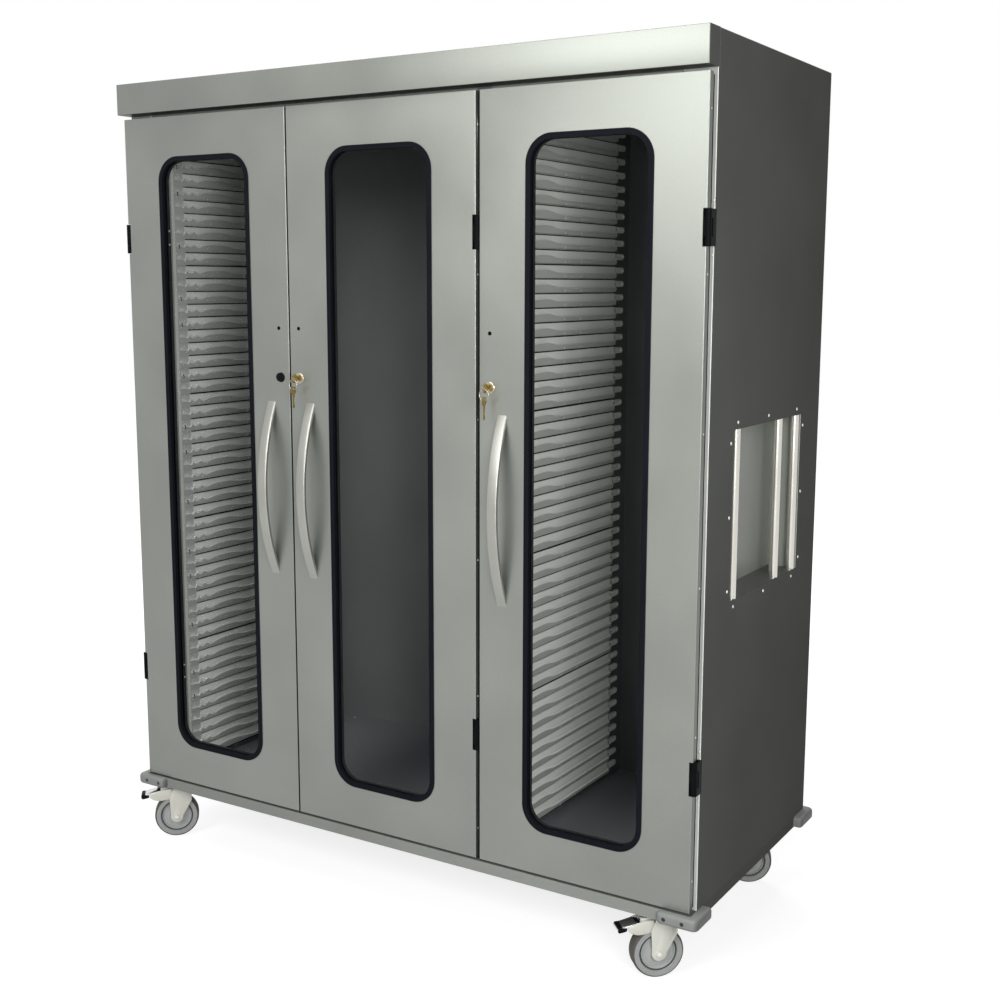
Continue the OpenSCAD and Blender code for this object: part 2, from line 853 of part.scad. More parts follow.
// Ring through the key's bow with a spare key hanging from it
module key_ring() {
  translate([lock_x, key_hole_y, lock_z - ring_drop]) {
    translate([0, 0, -ring_r]) rotate([90, 0, 0]) rotate_extrude()
      translate([ring_r, 0]) circle(wire_r, $fn = wire_fn);
    translate([0, 0, -2 * ring_r + spare_hole_r - wire_r - eps]) rotate([90, 0, 90])
      translate([0, 0, -key_t / 2]) linear_extrude(key_t) {
        difference() {
          translate([0, spare_hole_r - spare_bow_r + spare_bow_up]) circle(spare_bow_r);
          circle(spare_hole_r);
        }
        translate([-key_stem_w / 2, -spare_l + 2 * spare_hole_r])
          square([key_stem_w, spare_l - spare_bow_r - 2 * spare_hole_r]);
      }
  }
}

module lock_cover() {
  translate([cover_x, 0, lock_z]) {
    bar_y(case_r, -cover_t, skin_t);
  }
}

module base_frame() { color(dark) place() base_frame_shape(); }
module corner_bumpers() { color(plastic) place() corner_bumpers_shape(); }
module cabinet_screws() { color(alloy) place() cabinet_screws_shape(); }
module floor_panel() { color(dark) place() floor_panel_shape(); }
module back_panel() { color(dark) place() back_panel_shape(); }
module top_panel() { color(steel) place() top_panel_shape(); }
module left_side_panel() { color(steel) place() mirror([1, 0, 0]) side_panel_shape(); }
module right_side_panel() { color(steel) place() side_panel_shape(); }
module inner_walls() { color(dark) place() inner_walls_shape(); }
module divider() { color(dark) place() divider_shape(); }
module fascia() { color(steel) place() fascia_shape(); }
module door_seals() { color(black) place() door_seals_shape(); }
module wall_tray_rails() { color(plastic) place() wall_tray_rails_shape(); }
module divider_tray_rails() { color(plastic) place() divider_tray_rails_shape(); }
module hand_pockets() { color(steel) place() both_sides() hand_pocket(); }
module grab_bars() { color(alloy) place() grab_bars_shape(); }
module pocket_rivets() { color(alloy) place() pocket_rivets_shape(); }
module hinge_body_halves() { color(black) place() hinge_body_halves_shape(); }
module caster_plates() { color(cream) place() caster_plates_shape(); }

module left_door_skin() { color(steel) place() at_left() door_skin(cover_x); }
module left_door_liner() { color(dark) place() at_left() door_liner(cover_x, false); }
module left_glass() { color(pane) place() at_left() glass(); }
module left_gasket() { color(black) place() at_left() gasket(); }
module left_handle() { color(alloy) place() at_left() bow_handle(); }
module left_hinge_halves() { color(black) place() at_left() hinge_door_halves(); }
module left_lock_cover() { color(black) place() at_left() lock_cover(); }

module middle_door_skin() { color(steel) place() at_middle() door_skin(lock_x); }
module middle_door_liner() { color(dark) place() at_middle() door_liner(lock_x, true); }
module middle_glass() { color(pane) place() at_middle() glass(); }
module middle_gasket() { color(black) place() at_middle() gasket(); }
module middle_handle() { color(alloy) place() at_middle() bow_handle(); }
module middle_hinge_halves() { color(black) place() at_middle() hinge_door_halves(); }
module middle_lock_case() { color(brass_c) place() at_middle() lock_case(); }
module middle_lock_plug() { color(brass_c) place() at_middle() lock_plug(middle_cam_y, middle_cam_l); }
module middle_key_ring() { color(brass_c) place() at_middle() key_ring(); }

module right_door_skin() { color(steel) place() at_right() door_skin(lock_x); }
module right_door_liner() { color(dark) place() at_right() door_liner(lock_x, true); }
module right_glass() { color(pane) place() at_right() glass(); }
module right_gasket() { color(black) place() at_right() gasket(); }
module right_handle() { color(alloy) place() at_right() bow_handle(); }
module right_hinge_halves() { color(black) place() at_right() hinge_door_halves(); }
module right_lock_case() { color(brass_c) place() at_right() lock_case(); }
module right_lock_plug() { color(brass_c) place() at_right() lock_plug(right_cam_y, right_cam_l); }
module right_key_ring() { color(brass_c) place() at_right() key_ring(); }

module front_left_fork() { color(cream) place() caster_place(-1, true) fork(true); }
module front_left_wheel() { color(plastic) place() caster_place(-1, true) wheel(); }
module front_left_tyre() { color(rubber_c) place() caster_place(-1, true) tyre(); }
module front_left_pedal() { color(black) place() caster_place(-1, true) pedal(); }
module front_right_fork() { color(cream) place() caster_place(1, true) fork(true); }
module front_right_wheel() { color(plastic) place() caster_place(1, true) wheel(); }
module front_right_tyre() { color(rubber_c) place() caster_place(1, true) tyre(); }
module front_right_pedal() { color(black) place() caster_place(1, true) pedal(); }
module rear_left_fork() { color(cream) place() caster_place(-1, false) fork(false); }
module rear_left_wheel() { color(plastic) place() caster_place(-1, false) wheel(); }
module rear_left_tyre() { color(rubber_c) place() caster_place(-1, false) tyre(); }
module rear_right_fork() { color(cream) place() caster_place(1, false) fork(false); }
module rear_right_wheel() { color(plastic) place() caster_place(1, false) wheel(); }
module rear_right_tyre() { color(rubber_c) place() caster_place(1, false) tyre(); }

base_frame();
corner_bumpers();
cabinet_screws();
floor_panel();
back_panel();
top_panel();
left_side_panel();
right_side_panel();
inner_walls();
divider();
fascia();
door_seals();
wall_tray_rails();
divider_tray_rails();
hand_pockets();
grab_bars();
pocket_rivets();
hinge_body_halves();
caster_plates();
left_door_skin();
left_door_liner();
left_glass();
left_gasket();
left_handle();
left_hinge_halves();
left_lock_cover();
middle_door_skin();
middle_door_liner();
middle_glass();
middle_gasket();
middle_handle();
middle_hinge_halves();
middle_lock_case();
middle_lock_plug();
middle_key_ring();
right_door_skin();
right_door_liner();
right_glass();
right_gasket();
right_handle();
right_hinge_halves();
right_lock_case();
right_lock_plug();
right_key_ring();
front_left_fork();
front_left_wheel();
front_left_tyre();
front_left_pedal();
front_right_fork();
front_right_wheel();
front_right_tyre();
front_right_pedal();
rear_left_fork();
rear_left_wheel();
rear_left_tyre();
rear_right_fork();
rear_right_wheel();
rear_right_tyre();
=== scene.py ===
"""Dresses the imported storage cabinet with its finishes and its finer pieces, and sets up the studio."""

import json
import logging
import math
from dataclasses import dataclass, field
from enum import Enum
from typing import Callable, Dict, Iterable, List, Optional, Sequence, Tuple

import bmesh
import bpy
from mathutils import Matrix, Vector

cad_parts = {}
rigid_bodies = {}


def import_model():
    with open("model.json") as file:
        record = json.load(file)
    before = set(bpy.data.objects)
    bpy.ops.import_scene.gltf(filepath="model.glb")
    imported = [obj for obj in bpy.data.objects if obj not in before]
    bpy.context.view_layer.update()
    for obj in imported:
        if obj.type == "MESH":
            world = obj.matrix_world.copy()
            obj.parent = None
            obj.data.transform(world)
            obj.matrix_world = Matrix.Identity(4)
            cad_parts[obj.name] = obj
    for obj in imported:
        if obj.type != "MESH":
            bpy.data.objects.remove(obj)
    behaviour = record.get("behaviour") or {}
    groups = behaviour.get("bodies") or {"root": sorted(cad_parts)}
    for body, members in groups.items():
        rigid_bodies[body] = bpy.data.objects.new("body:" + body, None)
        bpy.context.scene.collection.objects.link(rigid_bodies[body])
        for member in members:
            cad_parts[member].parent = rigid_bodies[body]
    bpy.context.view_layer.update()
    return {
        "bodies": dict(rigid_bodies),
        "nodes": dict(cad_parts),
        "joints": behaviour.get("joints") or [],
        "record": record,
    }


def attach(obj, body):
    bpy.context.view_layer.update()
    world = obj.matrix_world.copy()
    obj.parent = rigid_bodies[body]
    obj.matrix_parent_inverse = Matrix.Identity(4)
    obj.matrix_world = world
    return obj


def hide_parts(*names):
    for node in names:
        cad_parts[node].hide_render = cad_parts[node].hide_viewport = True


LOG = logging.getLogger("cabinet")
FRAME: Dict[str, dict] = {}
MM = 0.001
Pair = Tuple[float, float]
Point = Tuple[float, float, float]
Colour = Tuple[float, float, float, float]

# Cabinet sizes in millimetres, counted from the doors' front face, bottom edge and the row's middle

MID_Y = 313.5
GROUND = 167.0
DOOR_W = 486.1
LEFT_FREE = -249.2
MIDDLE_FREE = -245.7
RIGHT_FREE = 249.2
SIDE_X = 739.2
BASE_FRONT = -2.7
BASE_REAR = 649.0
BASE_LOW = -28.8
LOCK_Z = 1008.0
LOCK_INSET = 24.7
BUMPER_OUT = 15.0
BUMPER_SIDE = 20.0

# Direction out of the doors' front face

OUTWARD = Vector((0, -1, 0))

# Free edge of each door and the side of it on which the door lies, as a sign of X

DOORS = {"left": (LEFT_FREE, -1), "middle": (MIDDLE_FREE, 1), "right": (RIGHT_FREE, 1)}


def at(x: float, y: float, z: float) -> Vector:
    """Point in the row frame, in metres, for a place counted in millimetres on the cabinet."""
    return Vector((x, y - MID_Y, z + GROUND)) * MM


def arc(radius: float, first: float, last: float, steps: int, middle: Pair = (0.0, 0.0)) -> List[Pair]:
    """Points along an arc.

    Args:
        radius: Radius of the arc.
        first: Angle in degrees at which it starts.
        last: Angle in degrees at which it ends.
        steps: Pieces that the arc is cut into.
        middle: Centre of the arc.

    Returns:
        The points in order, both ends included.
    """
    angles = [math.radians(first + (last - first) * k / steps) for k in range(steps + 1)]
    return [(middle[0] + radius * math.cos(a), middle[1] + radius * math.sin(a)) for a in angles]


def srgb(code: str) -> Colour:
    """Linear colour of an sRGB hex code.

    Args:
        code: Six hex digits after a hash sign.

    Returns:
        Linear red, green and blue, and an alpha of one.
    """
    values = [int(code[i:i + 2], 16) / 255 for i in (1, 3, 5)]
    linear = [v / 12.92 if v <= 0.04045 else ((v + 0.055) / 1.055) ** 2.4 for v in values]
    return (linear[0], linear[1], linear[2], 1.0)


def shade(code: str, factor: float) -> Colour:
    """Linear colour of an sRGB hex code, made lighter or darker by a factor."""
    r, g, b, a = srgb(code)
    return (min(1.0, r * factor), min(1.0, g * factor), min(1.0, b * factor), a)


def per_mm(size: float) -> float:
    """Noise scale that gives a feature about that many millimetres across on Object coordinates."""
    return 1000.0 / size


def add(tree: bpy.types.NodeTree, kind: str, links: Optional[dict] = None, **settings) -> bpy.types.Node:
    """Adds a node to a tree with its settings, input values and links.

    Args:
        tree: The node tree that takes the node.
        kind: The node's type name.
        links: Input name or index to a plain value, or to a (node, output) pair that feeds it.
        **settings: Attributes of the node.

    Returns:
        The new node.
    """
    node = tree.nodes.new(kind)
    for key, value in settings.items():
        setattr(node, key, value)
    for key, value in (links or {}).items():
        socket = node.inputs[key]
        if isinstance(value, tuple) and len(value) == 2 and isinstance(value[0], bpy.types.Node):
            tree.links.new(value[0].outputs[value[1]], socket)
        else:
            socket.default_value = value
    return node


# Finishes


@dataclass(frozen=True)
class Finish:
    """A surface finish: a colour with grain, mottling and a fine bump at real sizes.

    Args:
        name: Name of the material.
        colour: sRGB hex code.
        metallic: Metallic share of the shader.
        roughness: Mean roughness.
        grain: Size of the fine grain in millimetres.
        contrast: How far the grain lightens and darkens the colour.
        bump: Height of the grain in millimetres.
        mottle: Size of the broad patches in millimetres.
        stretch: Scale of the grain along X, Y and Z, to draw it out along a direction.
        coat: Weight of a clear coat.
        sheen: Strength of the plain reflection.
    """

    name: str
    colour: str
    metallic: float = 0.0
    roughness: float = 0.5
    grain: float = 0.8
    contrast: float = 0.08
    bump: float = 0.02
    mottle: float = 160.0
    stretch: Point = (1.0, 1.0, 1.0)
    coat: float = 0.0
    sheen: float = 0.5

    def material(self) -> bpy.types.Material:
        """Builds the material once.

        Returns:
            The material.
        """
        found = bpy.data.materials.get(self.name)
        if found:
            return found
        made = bpy.data.materials.new(self.name)
        made.use_nodes = True
        tree = made.node_tree
        tree.nodes.clear()
        self.surface(tree)
        return made

    def surface(self, tree: bpy.types.NodeTree) -> None:
        """Builds the shader and its output in the tree."""
        add(tree, "ShaderNodeOutputMaterial", {"Surface": (self.shader(tree), 0)})

    def shader(self, tree: bpy.types.NodeTree) -> bpy.types.Node:
        """Builds the principled shader with its grain.

        Args:
            tree: The material's tree.

        Returns:
            The shader's node.
        """
        place = add(tree, "ShaderNodeTexCoord")
        drawn = add(tree, "ShaderNodeMapping", {"Vector": (place, "Object"), "Scale": self.stretch})
        fine = add(tree, "ShaderNodeTexNoise", {
            "Vector": (drawn, 0), "Scale": per_mm(self.grain), "Detail": 3.0})
        broad = add(tree, "ShaderNodeTexNoise", {
            "Vector": (place, "Object"), "Scale": per_mm(self.mottle), "Detail": 2.0})
        both = add(tree, "ShaderNodeMath", {0: (fine, 0), 1: (broad, 0)}, operation="ADD")
        half = add(tree, "ShaderNodeMath", {0: (both, 0), 1: 0.5}, operation="MULTIPLY")
        ramp = add(tree, "ShaderNodeValToRGB", {"Fac": (half, 0)})
        for stop, position, way in zip(ramp.color_ramp.elements, (0.36, 0.64), (-1, 1)):
            stop.position = position
            stop.color = shade(self.colour, 1 + way * self.contrast)
        rough = add(tree, "ShaderNodeMapRange", {
            "Value": (half, 0), "From Min": 0.35, "From Max": 0.65,
            "To Min": max(0.02, self.roughness - 0.05), "To Max": min(1.0, self.roughness + 0.05)})
        bump = add(tree, "ShaderNodeBump", {"Strength": 0.6, "Distance": self.bump * MM, "Height": (fine, 0)})
        return add(tree, "ShaderNodeBsdfPrincipled", {
            "Base Color": (ramp, 0), "Metallic": self.metallic, "Roughness": (rough, 0), "Normal": (bump, 0),
            "Coat Weight": self.coat, "Coat Roughness": 0.2, "Specular IOR Level": self.sheen})


@dataclass(frozen=True)
class FacingCoat(Finish):
    """A finish with painted light or shade: lighter or darker where the surface faces one way.

    Args:
        axis: Axis that is looked at.
        low: Facing at which the change starts.
        high: Facing at which it is full.
        gain: Factor of the colour there, the strength of the painted light or shade.
    """

    axis: str = "Y"
    low: float = -0.3
    high: float = -0.9
    gain: float = 2.4

    def shader(self, tree: bpy.types.NodeTree) -> bpy.types.Node:
        """Builds the grained shader and paints light or shade into its colour by its facing.

        Args:
            tree: The material's tree.

        Returns:
            The shader's node.
        """
        made = super().shader(tree)
        # Painted light or shade, by the way the surface faces
        facing = add(tree, "ShaderNodeMapRange", {
            "Value": (self.normal(tree), self.axis), "From Min": self.low, "From Max": self.high,
            "To Min": 1.0, "To Max": self.gain})
        self.lighten(tree, made, facing)
        return made

    def normal(self, tree: bpy.types.NodeTree) -> bpy.types.Node:
        """Adds the surface's direction as three values."""
        return add(tree, "ShaderNodeSeparateXYZ", {"Vector": (add(tree, "ShaderNodeTexCoord"), "Normal")})

    def lighten(self, tree: bpy.types.NodeTree, made: bpy.types.Node, factor: bpy.types.Node) -> None:
        """Multiplies the shader's colour by a node's value, to paint light or shade into it.

        Args:
            tree: The material's tree.
            made: The shader's node.
            factor: The node whose first output is the factor.
        """
        source = made.inputs["Base Color"].links[0].from_node
        lit = add(tree, "ShaderNodeVectorMath", {0: (source, 0), 1: (factor, 0)}, operation="MULTIPLY")
        tree.links.new(lit.outputs[0], made.inputs["Base Color"])


@dataclass(frozen=True)
class FoldedCoat(FacingCoat):
    """A coat that also has a painted highlight on a folded corner between X and Y.

    Args:
        edge: Factor of the colour on the corner, the painted highlight.
    """

    edge: float = 2.9

    def shader(self, tree: bpy.types.NodeTree) -> bpy.types.Node:
        """Builds the facing coat and paints a highlight on its corners.

        Args:
            tree: The material's tree.

        Returns:
            The shader's node.
        """
        made = super().shader(tree)
        parts = self.normal(tree)
        both = add(tree, "ShaderNodeMath", {0: (parts, "X"), 1: (parts, "Y")}, operation="MULTIPLY")
        size = add(tree, "ShaderNodeMath", {0: (both, 0)}, operation="ABSOLUTE")
        # Painted highlight where the surface turns between X and Y, as on a folded corner
        corner = add(tree, "ShaderNodeMapRange", {
            "Value": (size, 0), "From Min": 0.1, "From Max": 0.3, "To Min": 1.0, "To Max": self.edge})
        self.lighten(tree, made, corner)
        return made


@dataclass(frozen=True)
class ClearPane(Finish):
    """Window glass that lets light and shadow rays straight through and still reflects."""

    def surface(self, tree: bpy.types.NodeTree) -> None:
        """Builds a mix of clear and mirror-like parts by the angle of view.

        Args:
            tree: The material's tree.
        """
        place = add(tree, "ShaderNodeTexCoord")
        haze = add(tree, "ShaderNodeTexNoise", {
            "Vector": (place, "Object"), "Scale": per_mm(self.mottle), "Detail": 2.0})
        rough = add(tree, "ShaderNodeMapRange", {"Value": (haze, 0), "To Min": 0.0, "To Max": 0.05})
        tint = add(tree, "ShaderNodeBsdfTransparent", {"Color": srgb(self.colour)})
        shine = add(tree, "ShaderNodeBsdfPrincipled", {
            "Base Color": srgb(self.colour), "Roughness": (rough, 0), "Transmission Weight": 1.0,
            "Alpha": 0.12})
        edge = add(tree, "ShaderNodeFresnel", {"IOR": 1.25})
        both = add(tree, "ShaderNodeMixShader", {0: (edge, 0), 1: (tint, 0), 2: (shine, 0)})
        add(tree, "ShaderNodeOutputMaterial", {"Surface": (both, 0)})


class Finishes(Enum):
    """The finishes of the cabinet's pieces. The coats' and plastics' fine grain is drawn coarser, to show."""

    # Sprayed pearl-grey powder coat with a metallic fleck: a soft, wide shine, with painted shade on
    # right-hand edges
    DOOR = FacingCoat("pearl powder coat", "#888b85", 0.6, 0.36, 0.9, 0.10, 0.03, 260.0, sheen=0.3,
                      axis="X", low=0.78, high=0.98, gain=0.55)
    # The same coat on the fascia, with painted shade on its underside
    FASCIA = FacingCoat("pearl powder coat fascia", "#888b85", 0.6, 0.36, 0.9, 0.10, 0.03, 260.0, sheen=0.05,
                        axis="Z", low=-0.5, high=-0.9, gain=0.012)
    # The same coat on the sides, a darker copy with painted shade, painted light on the forward-facing flange
    # and a painted highlight on the folded front corner
    SIDE = FoldedCoat("pearl powder coat side", "#5f605d", 0.0, 0.42, 0.9, 0.10, 0.03, 300.0,
                      sheen=0.0, gain=3.8)
    # The same coat on the back panel, a darker copy with painted shade, and more painted shade on its rear
    # face
    BACK = FacingCoat("pearl powder coat back", "#7c7e80", 0.3, 0.45, 0.9, 0.10, 0.03, 300.0, sheen=0.15,
                      axis="Y", low=0.3, high=0.9, gain=0.55)
    # The same coat inside the hand pockets, a paler copy with painted light, and painted shade on the
    # pockets' floors
    POCKET = FacingCoat("pearl powder coat pocket", "#93958f", 0.35, 0.42, 0.9, 0.10, 0.03, 200.0,
                        axis="Z", low=0.5, high=0.9, gain=0.35)
    # The same coat inside, dull and dark with painted shade, and paler on the floor with painted light
    INSIDE = FacingCoat("interior coat", "#696b6f", 0.2, 0.5, 0.9, 0.10, 0.03, 300.0,
                        axis="Z", low=0.5, high=0.9, gain=1.7)
    # Matt dark coat on the doors' inner sheets, dark with painted shade
    LINER = Finish("door liner coat with painted shade", "#2d2f30", 0.1, 0.6, 0.9, 0.12, 0.03, 200.0)
    # Powder coat of the base, dark on its sides with painted shade and paler in front with painted light
    BASE = FacingCoat("base coat", "#5b5c59", 0.0, 0.42, 0.9, 0.10, 0.03, 300.0, sheen=0.0, gain=2.6)
    # Soft extruded black rubber of gaskets and seals, nearly without shine
    RUBBER = Finish("black rubber", "#15171c", 0.0, 0.6, 0.5, 0.15, 0.03, 60.0, sheen=0.03)
    # Black coated steel of the hinges, nearly without shine
    HINGE = Finish("black hinge coat", "#0d0e10", 0.0, 0.45, 0.7, 0.2, 0.03, 30.0, sheen=0.03)
    # Moulded black plastic of the cover plug, the pedal caps and the pads
    PLUG = Finish("black plastic", "#0f1013", 0.0, 0.42, 0.6, 0.2, 0.02, 30.0, sheen=0.05)
    # Satin anodised aluminium of the bow handles, its grain drawn along them
    HANDLE = Finish("satin aluminium", "#9b9b95", 0.85, 0.38, 1.2, 0.06, 0.01, 80.0, (1.0, 1.0, 0.08))
    # Polished steel bars in the side pockets, bright and even
    BAR = Finish("bright steel bar", "#cfcdc5", 0.85, 0.22, 0.8, 0.02, 0.0001, 120.0, (1.0, 1.0, 0.01))
    # Zinc-plated rivets and screws, small bright points
    SCREW = Finish("bright zinc", "#e2e2de", 0.45, 0.3, 0.5, 0.1, 0.01, 8.0)
    # Dark plated screws in the bumpers
    DARK_SCREW = Finish("dark plated steel", "#34373a", 0.7, 0.4, 0.5, 0.15, 0.01, 8.0)
    # Milky moulded plastic of the tray rails, pale with painted light, and lighter where it faces up with
    # more painted light
    RAIL = FacingCoat("milky rail plastic", "#c6c9c6", 0.0, 0.36, 1.5, 0.05, 0.02, 90.0, coat=0.2,
                      axis="Z", low=0.03, high=0.22, gain=1.75)
    # Paler front strips, fingers and moulding dots of the tray rails: the dots and dashes are the rails' own
    # marks, the strips and fingers are pale with painted light
    BEAD = Finish("pale rail edge", "#eceeea", 0.0, 0.4, 1.2, 0.06, 0.02, 40.0, coat=0.2)
    # Dark slots and seams of the tray rails, and painted shade in the grooves under the ribs
    SEAM = Finish("rail slots and painted groove shade", "#1d1f1f", 0.0, 0.7, 1.0, 0.2, 0.02, 20.0)
    # Moulded grey plastic of the corner bumpers, darker on their right sides, away from the light
    BUMPER = FacingCoat("grey bumper plastic", "#8c8e8c", 0.0, 0.45, 0.7, 0.08, 0.04, 60.0, sheen=0.1,
                        axis="X", low=0.3, high=0.9, gain=0.6)
    # Stamped brass of the keys and lock plugs, dulled by hands
    BRASS = Finish("worn brass", "#8c7a4c", 0.8, 0.32, 0.4, 0.14, 0.01, 6.0)
    # Nickel-plated lock bezels and key rings, bright and warm
    NICKEL = Finish("nickel plate", "#b3ab98", 0.9, 0.25, 0.4, 0.08, 0.005, 8.0)
    # Pale zinc coat of the pressed caster forks and plates
    FORK = Finish("pale caster coat", "#cfcec4", 0.25, 0.38, 0.8, 0.05, 0.02, 40.0)
    # Chromed pedal lever, almost a mirror
    CHROME = Finish("chrome lever", "#d5d7d8", 0.95, 0.15, 0.5, 0.06, 0.005, 20.0)
    # Moulded grey nylon of the wheel centres
    WHEEL = Finish("grey wheel centre", "#a7aaa8", 0.0, 0.45, 0.8, 0.06, 0.03, 30.0)
    # Grey rubber of the tyres, matt
    TYRE = Finish("grey tyre wall", "#999c99", 0.0, 0.6, 0.8, 0.08, 0.05, 25.0)
    # The tyres' running faces, dark and brown
    TREAD = Finish("dark tread", "#4e4946", 0.0, 0.75, 0.8, 0.2, 0.05, 18.0)
    # Dark joint between tyre and wheel centre
    RING = Finish("dark wheel ring", "#33363a", 0.0, 0.6, 0.6, 0.1, 0.02, 20.0)
    # Clear window pane, with a faint change of gloss
    PANE = ClearPane("clear pane", "#f4f4f3", mottle=200.0)

    @property
    def material(self) -> bpy.types.Material:
        """The finish's Blender material."""
        return self.value.material()


# Mesh tools


def new_object(name: str, data: bpy.types.ID) -> bpy.types.Object:
    """Links a new object for a mesh, a lamp or a camera into the scene.

    Args:
        name: Name of the object.
        data: The mesh, lamp or camera.

    Returns:
        The object.
    """
    made = bpy.data.objects.new(name, data)
    bpy.context.scene.collection.objects.link(made)
    return made


def loose_mesh(name: str, points: Iterable[Sequence[float]],
               faces: Iterable[Sequence[int]] = ()) -> bpy.types.Mesh:
    """Makes a mesh from points and faces as they are.

    Args:
        name: Name of the mesh.
        points: Vertex places in metres.
        faces: Vertex numbers of each face, none for loose points.

    Returns:
        The mesh.
    """
    mesh = bpy.data.meshes.new(name)
    mesh.from_pydata([tuple(p) for p in points], [], [tuple(f) for f in faces])
    return mesh


def mesh_from(name: str, points: Iterable[Sequence[float]], faces: Iterable[Sequence[int]],
              smooth: float = 35.0) -> bpy.types.Mesh:
    """Makes a mesh with merged doubles and outward faces.

    Args:
        name: Name of the mesh.
        points: Vertex places in metres.
        faces: Vertex numbers of each face.
        smooth: Angle in degrees under which edges are shaded smooth.

    Returns:
        The mesh.
    """
    mesh = loose_mesh(name, points, faces)
    work = bmesh.new()
    work.from_mesh(mesh)
    bmesh.ops.remove_doubles(work, verts=work.verts, dist=1e-6)
    bmesh.ops.recalc_face_normals(work, faces=work.faces)
    work.to_mesh(mesh)
    work.free()
    soften(mesh, smooth)
    return mesh


def soften(mesh: bpy.types.Mesh, angle: float = 35.0) -> None:
    """Shades a mesh smooth and keeps edges over an angle in degrees sharp."""
    mesh.shade_smooth()
    mesh.set_sharp_from_angle(angle=math.radians(angle))


def bands(size: int, rows: int, first: int = 0, closed: bool = False) -> List[Tuple[int, ...]]:
    """Four-cornered faces between loops of vertices that follow one another.

    Args:
        size: Vertices in each loop.
        rows: Number of loops.
        first: Number of the first vertex.
        closed: Whether the last loop joins the first.

    Returns:
        The vertex numbers of each face.
    """
    faces = []
    for row in range(rows if closed else rows - 1):
        low, high = first + row * size, first + (row + 1) % rows * size
        faces += [(low + k, low + (k + 1) % size, high + (k + 1) % size, high + k) for k in range(size)]
    return faces


def caps(size: int, rows: int, first: int = 0) -> List[Tuple[int, ...]]:
    """Faces that close the first and the last of several loops.

    Args:
        size: Vertices in each loop.
        rows: Number of loops.
        first: Number of the first vertex.

    Returns:
        The vertex numbers of the two faces.
    """
    last = first + (rows - 1) * size
    return [tuple(range(first, first + size)), tuple(range(last, last + size))]


def turned(name: str, profile: Sequence[Pair], spot: Vector, axis: Vector, steps: int = 48) -> bpy.types.Mesh:
    """Turns a profile round an axis.

    Args:
        name: Name of the mesh.
        profile: (radius, height) pairs in millimetres, closed on the axis where the radius is zero.
        spot: Where height zero lies, in metres.
        axis: Direction of the height.
        steps: Faces round the axis.

    Returns:
        The closed mesh.
    """
    turn = Vector((0, 0, 1)).rotation_difference(axis.normalized()).to_matrix()
    rounds = arc(1.0, 0.0, 360.0, steps)[:-1]
    points = [spot + turn @ (Vector((r * c, r * s, h)) * MM) for r, h in profile for c, s in rounds]
    return mesh_from(name, points, bands(steps, len(profile), closed=profile[0][0] > 0))


def plate(name: str, outline: Sequence[Pair], thickness: float, frame: Callable[..., Vector],
          hole: Optional[Point] = None) -> bpy.types.Mesh:
    """Makes a flat plate from an outline, with an optional round hole.

    Args:
        name: Name of the mesh.
        outline: Corner places in millimetres, in order.
        thickness: Thickness in millimetres, half to each side.
        frame: Turns (along, up, across) millimetres into a place in metres.
        hole: Middle and radius of a hole in millimetres.

    Returns:
        The closed mesh.
    """
    loops = [list(outline)]
    if hole:
        loops.append(arc(hole[2], 0.0, 360.0, 24, hole[:2])[:-1])
    work = bmesh.new()
    edges = []
    for loop in loops:
        corners = [work.verts.new(frame(u, v, -thickness / 2)) for u, v in loop]
        edges += [work.edges.new((corners[i], corners[(i + 1) % len(corners)])) for i in range(len(corners))]
    filled = bmesh.ops.triangle_fill(work, use_beauty=True, use_dissolve=False, edges=edges)
    flat = [f for f in filled["geom"] if isinstance(f, bmesh.types.BMFace)]
    grown = bmesh.ops.extrude_face_region(work, geom=flat, use_keep_orig=True)
    bmesh.ops.translate(work, verts=[v for v in grown["geom"] if isinstance(v, bmesh.types.BMVert)],
                        vec=frame(0, 0, thickness) - frame(0, 0, 0))
    bmesh.ops.recalc_face_normals(work, faces=work.faces)
    mesh = bpy.data.meshes.new(name)
    work.to_mesh(mesh)
    work.free()
    return mesh


def joined(name: str, meshes: Sequence[bpy.types.Mesh], finishes: Sequence[Finishes]) -> bpy.types.Object:
    """Joins meshes into one object, each with its own finish.

    Args:
        name: Name of the object.
        meshes: The meshes.
        finishes: The finish of each.

    Returns:
        The object.
    """
    order = list(dict.fromkeys(finishes))
    work = bmesh.new()
    for mesh, finish in zip(meshes, finishes):
        first = len(work.faces)
        work.from_mesh(mesh)
        work.faces.ensure_lookup_table()
        for face in work.faces[first:]:
            face.material_index = order.index(finish)
    whole = bpy.data.meshes.new(name)
    work.to_mesh(whole)
    work.free()
    for finish in order:
        whole.materials.append(finish.material)
    soften(whole)
    return new_object(name, whole)


def taken(*objects: bpy.types.Object) -> List[bpy.types.Mesh]:
    """Takes the meshes out of helper objects and removes the objects.

    Args:
        *objects: The helper objects.

    Returns:
        Their meshes.
    """
    meshes = [obj.data for obj in objects]
    for obj in objects:
        bpy.data.objects.remove(obj)
    return meshes


def bevelled(obj: bpy.types.Object, width: float, segments: int = 2, angle: float = 40.0) -> bpy.types.Object:
    """Rounds an object's sharp edges and applies the rounding.

    Args:
        obj: The object.
        width: Width of the rounding in millimetres.
        segments: Faces across the rounding.
        angle: Smallest angle in degrees that is rounded.

    Returns:
        The same object.
    """
    tool = obj.modifiers.new("rounding", "BEVEL")
    tool.width = width * MM
    tool.segments = segments
    tool.limit_method = "ANGLE"
    tool.angle_limit = math.radians(angle)
    apply_tools(obj)
    soften(obj.data)
    return obj


def apply_tools(obj: bpy.types.Object) -> None:
    """Turns an object's evaluated shape into its plain mesh and removes its modifiers.

    Args:
        obj: The object.
    """
    bpy.context.view_layer.update()
    shape = obj.evaluated_get(bpy.context.evaluated_depsgraph_get())
    mesh = bpy.data.meshes.new_from_object(shape)
    obj.modifiers.clear()
    obj.data = mesh


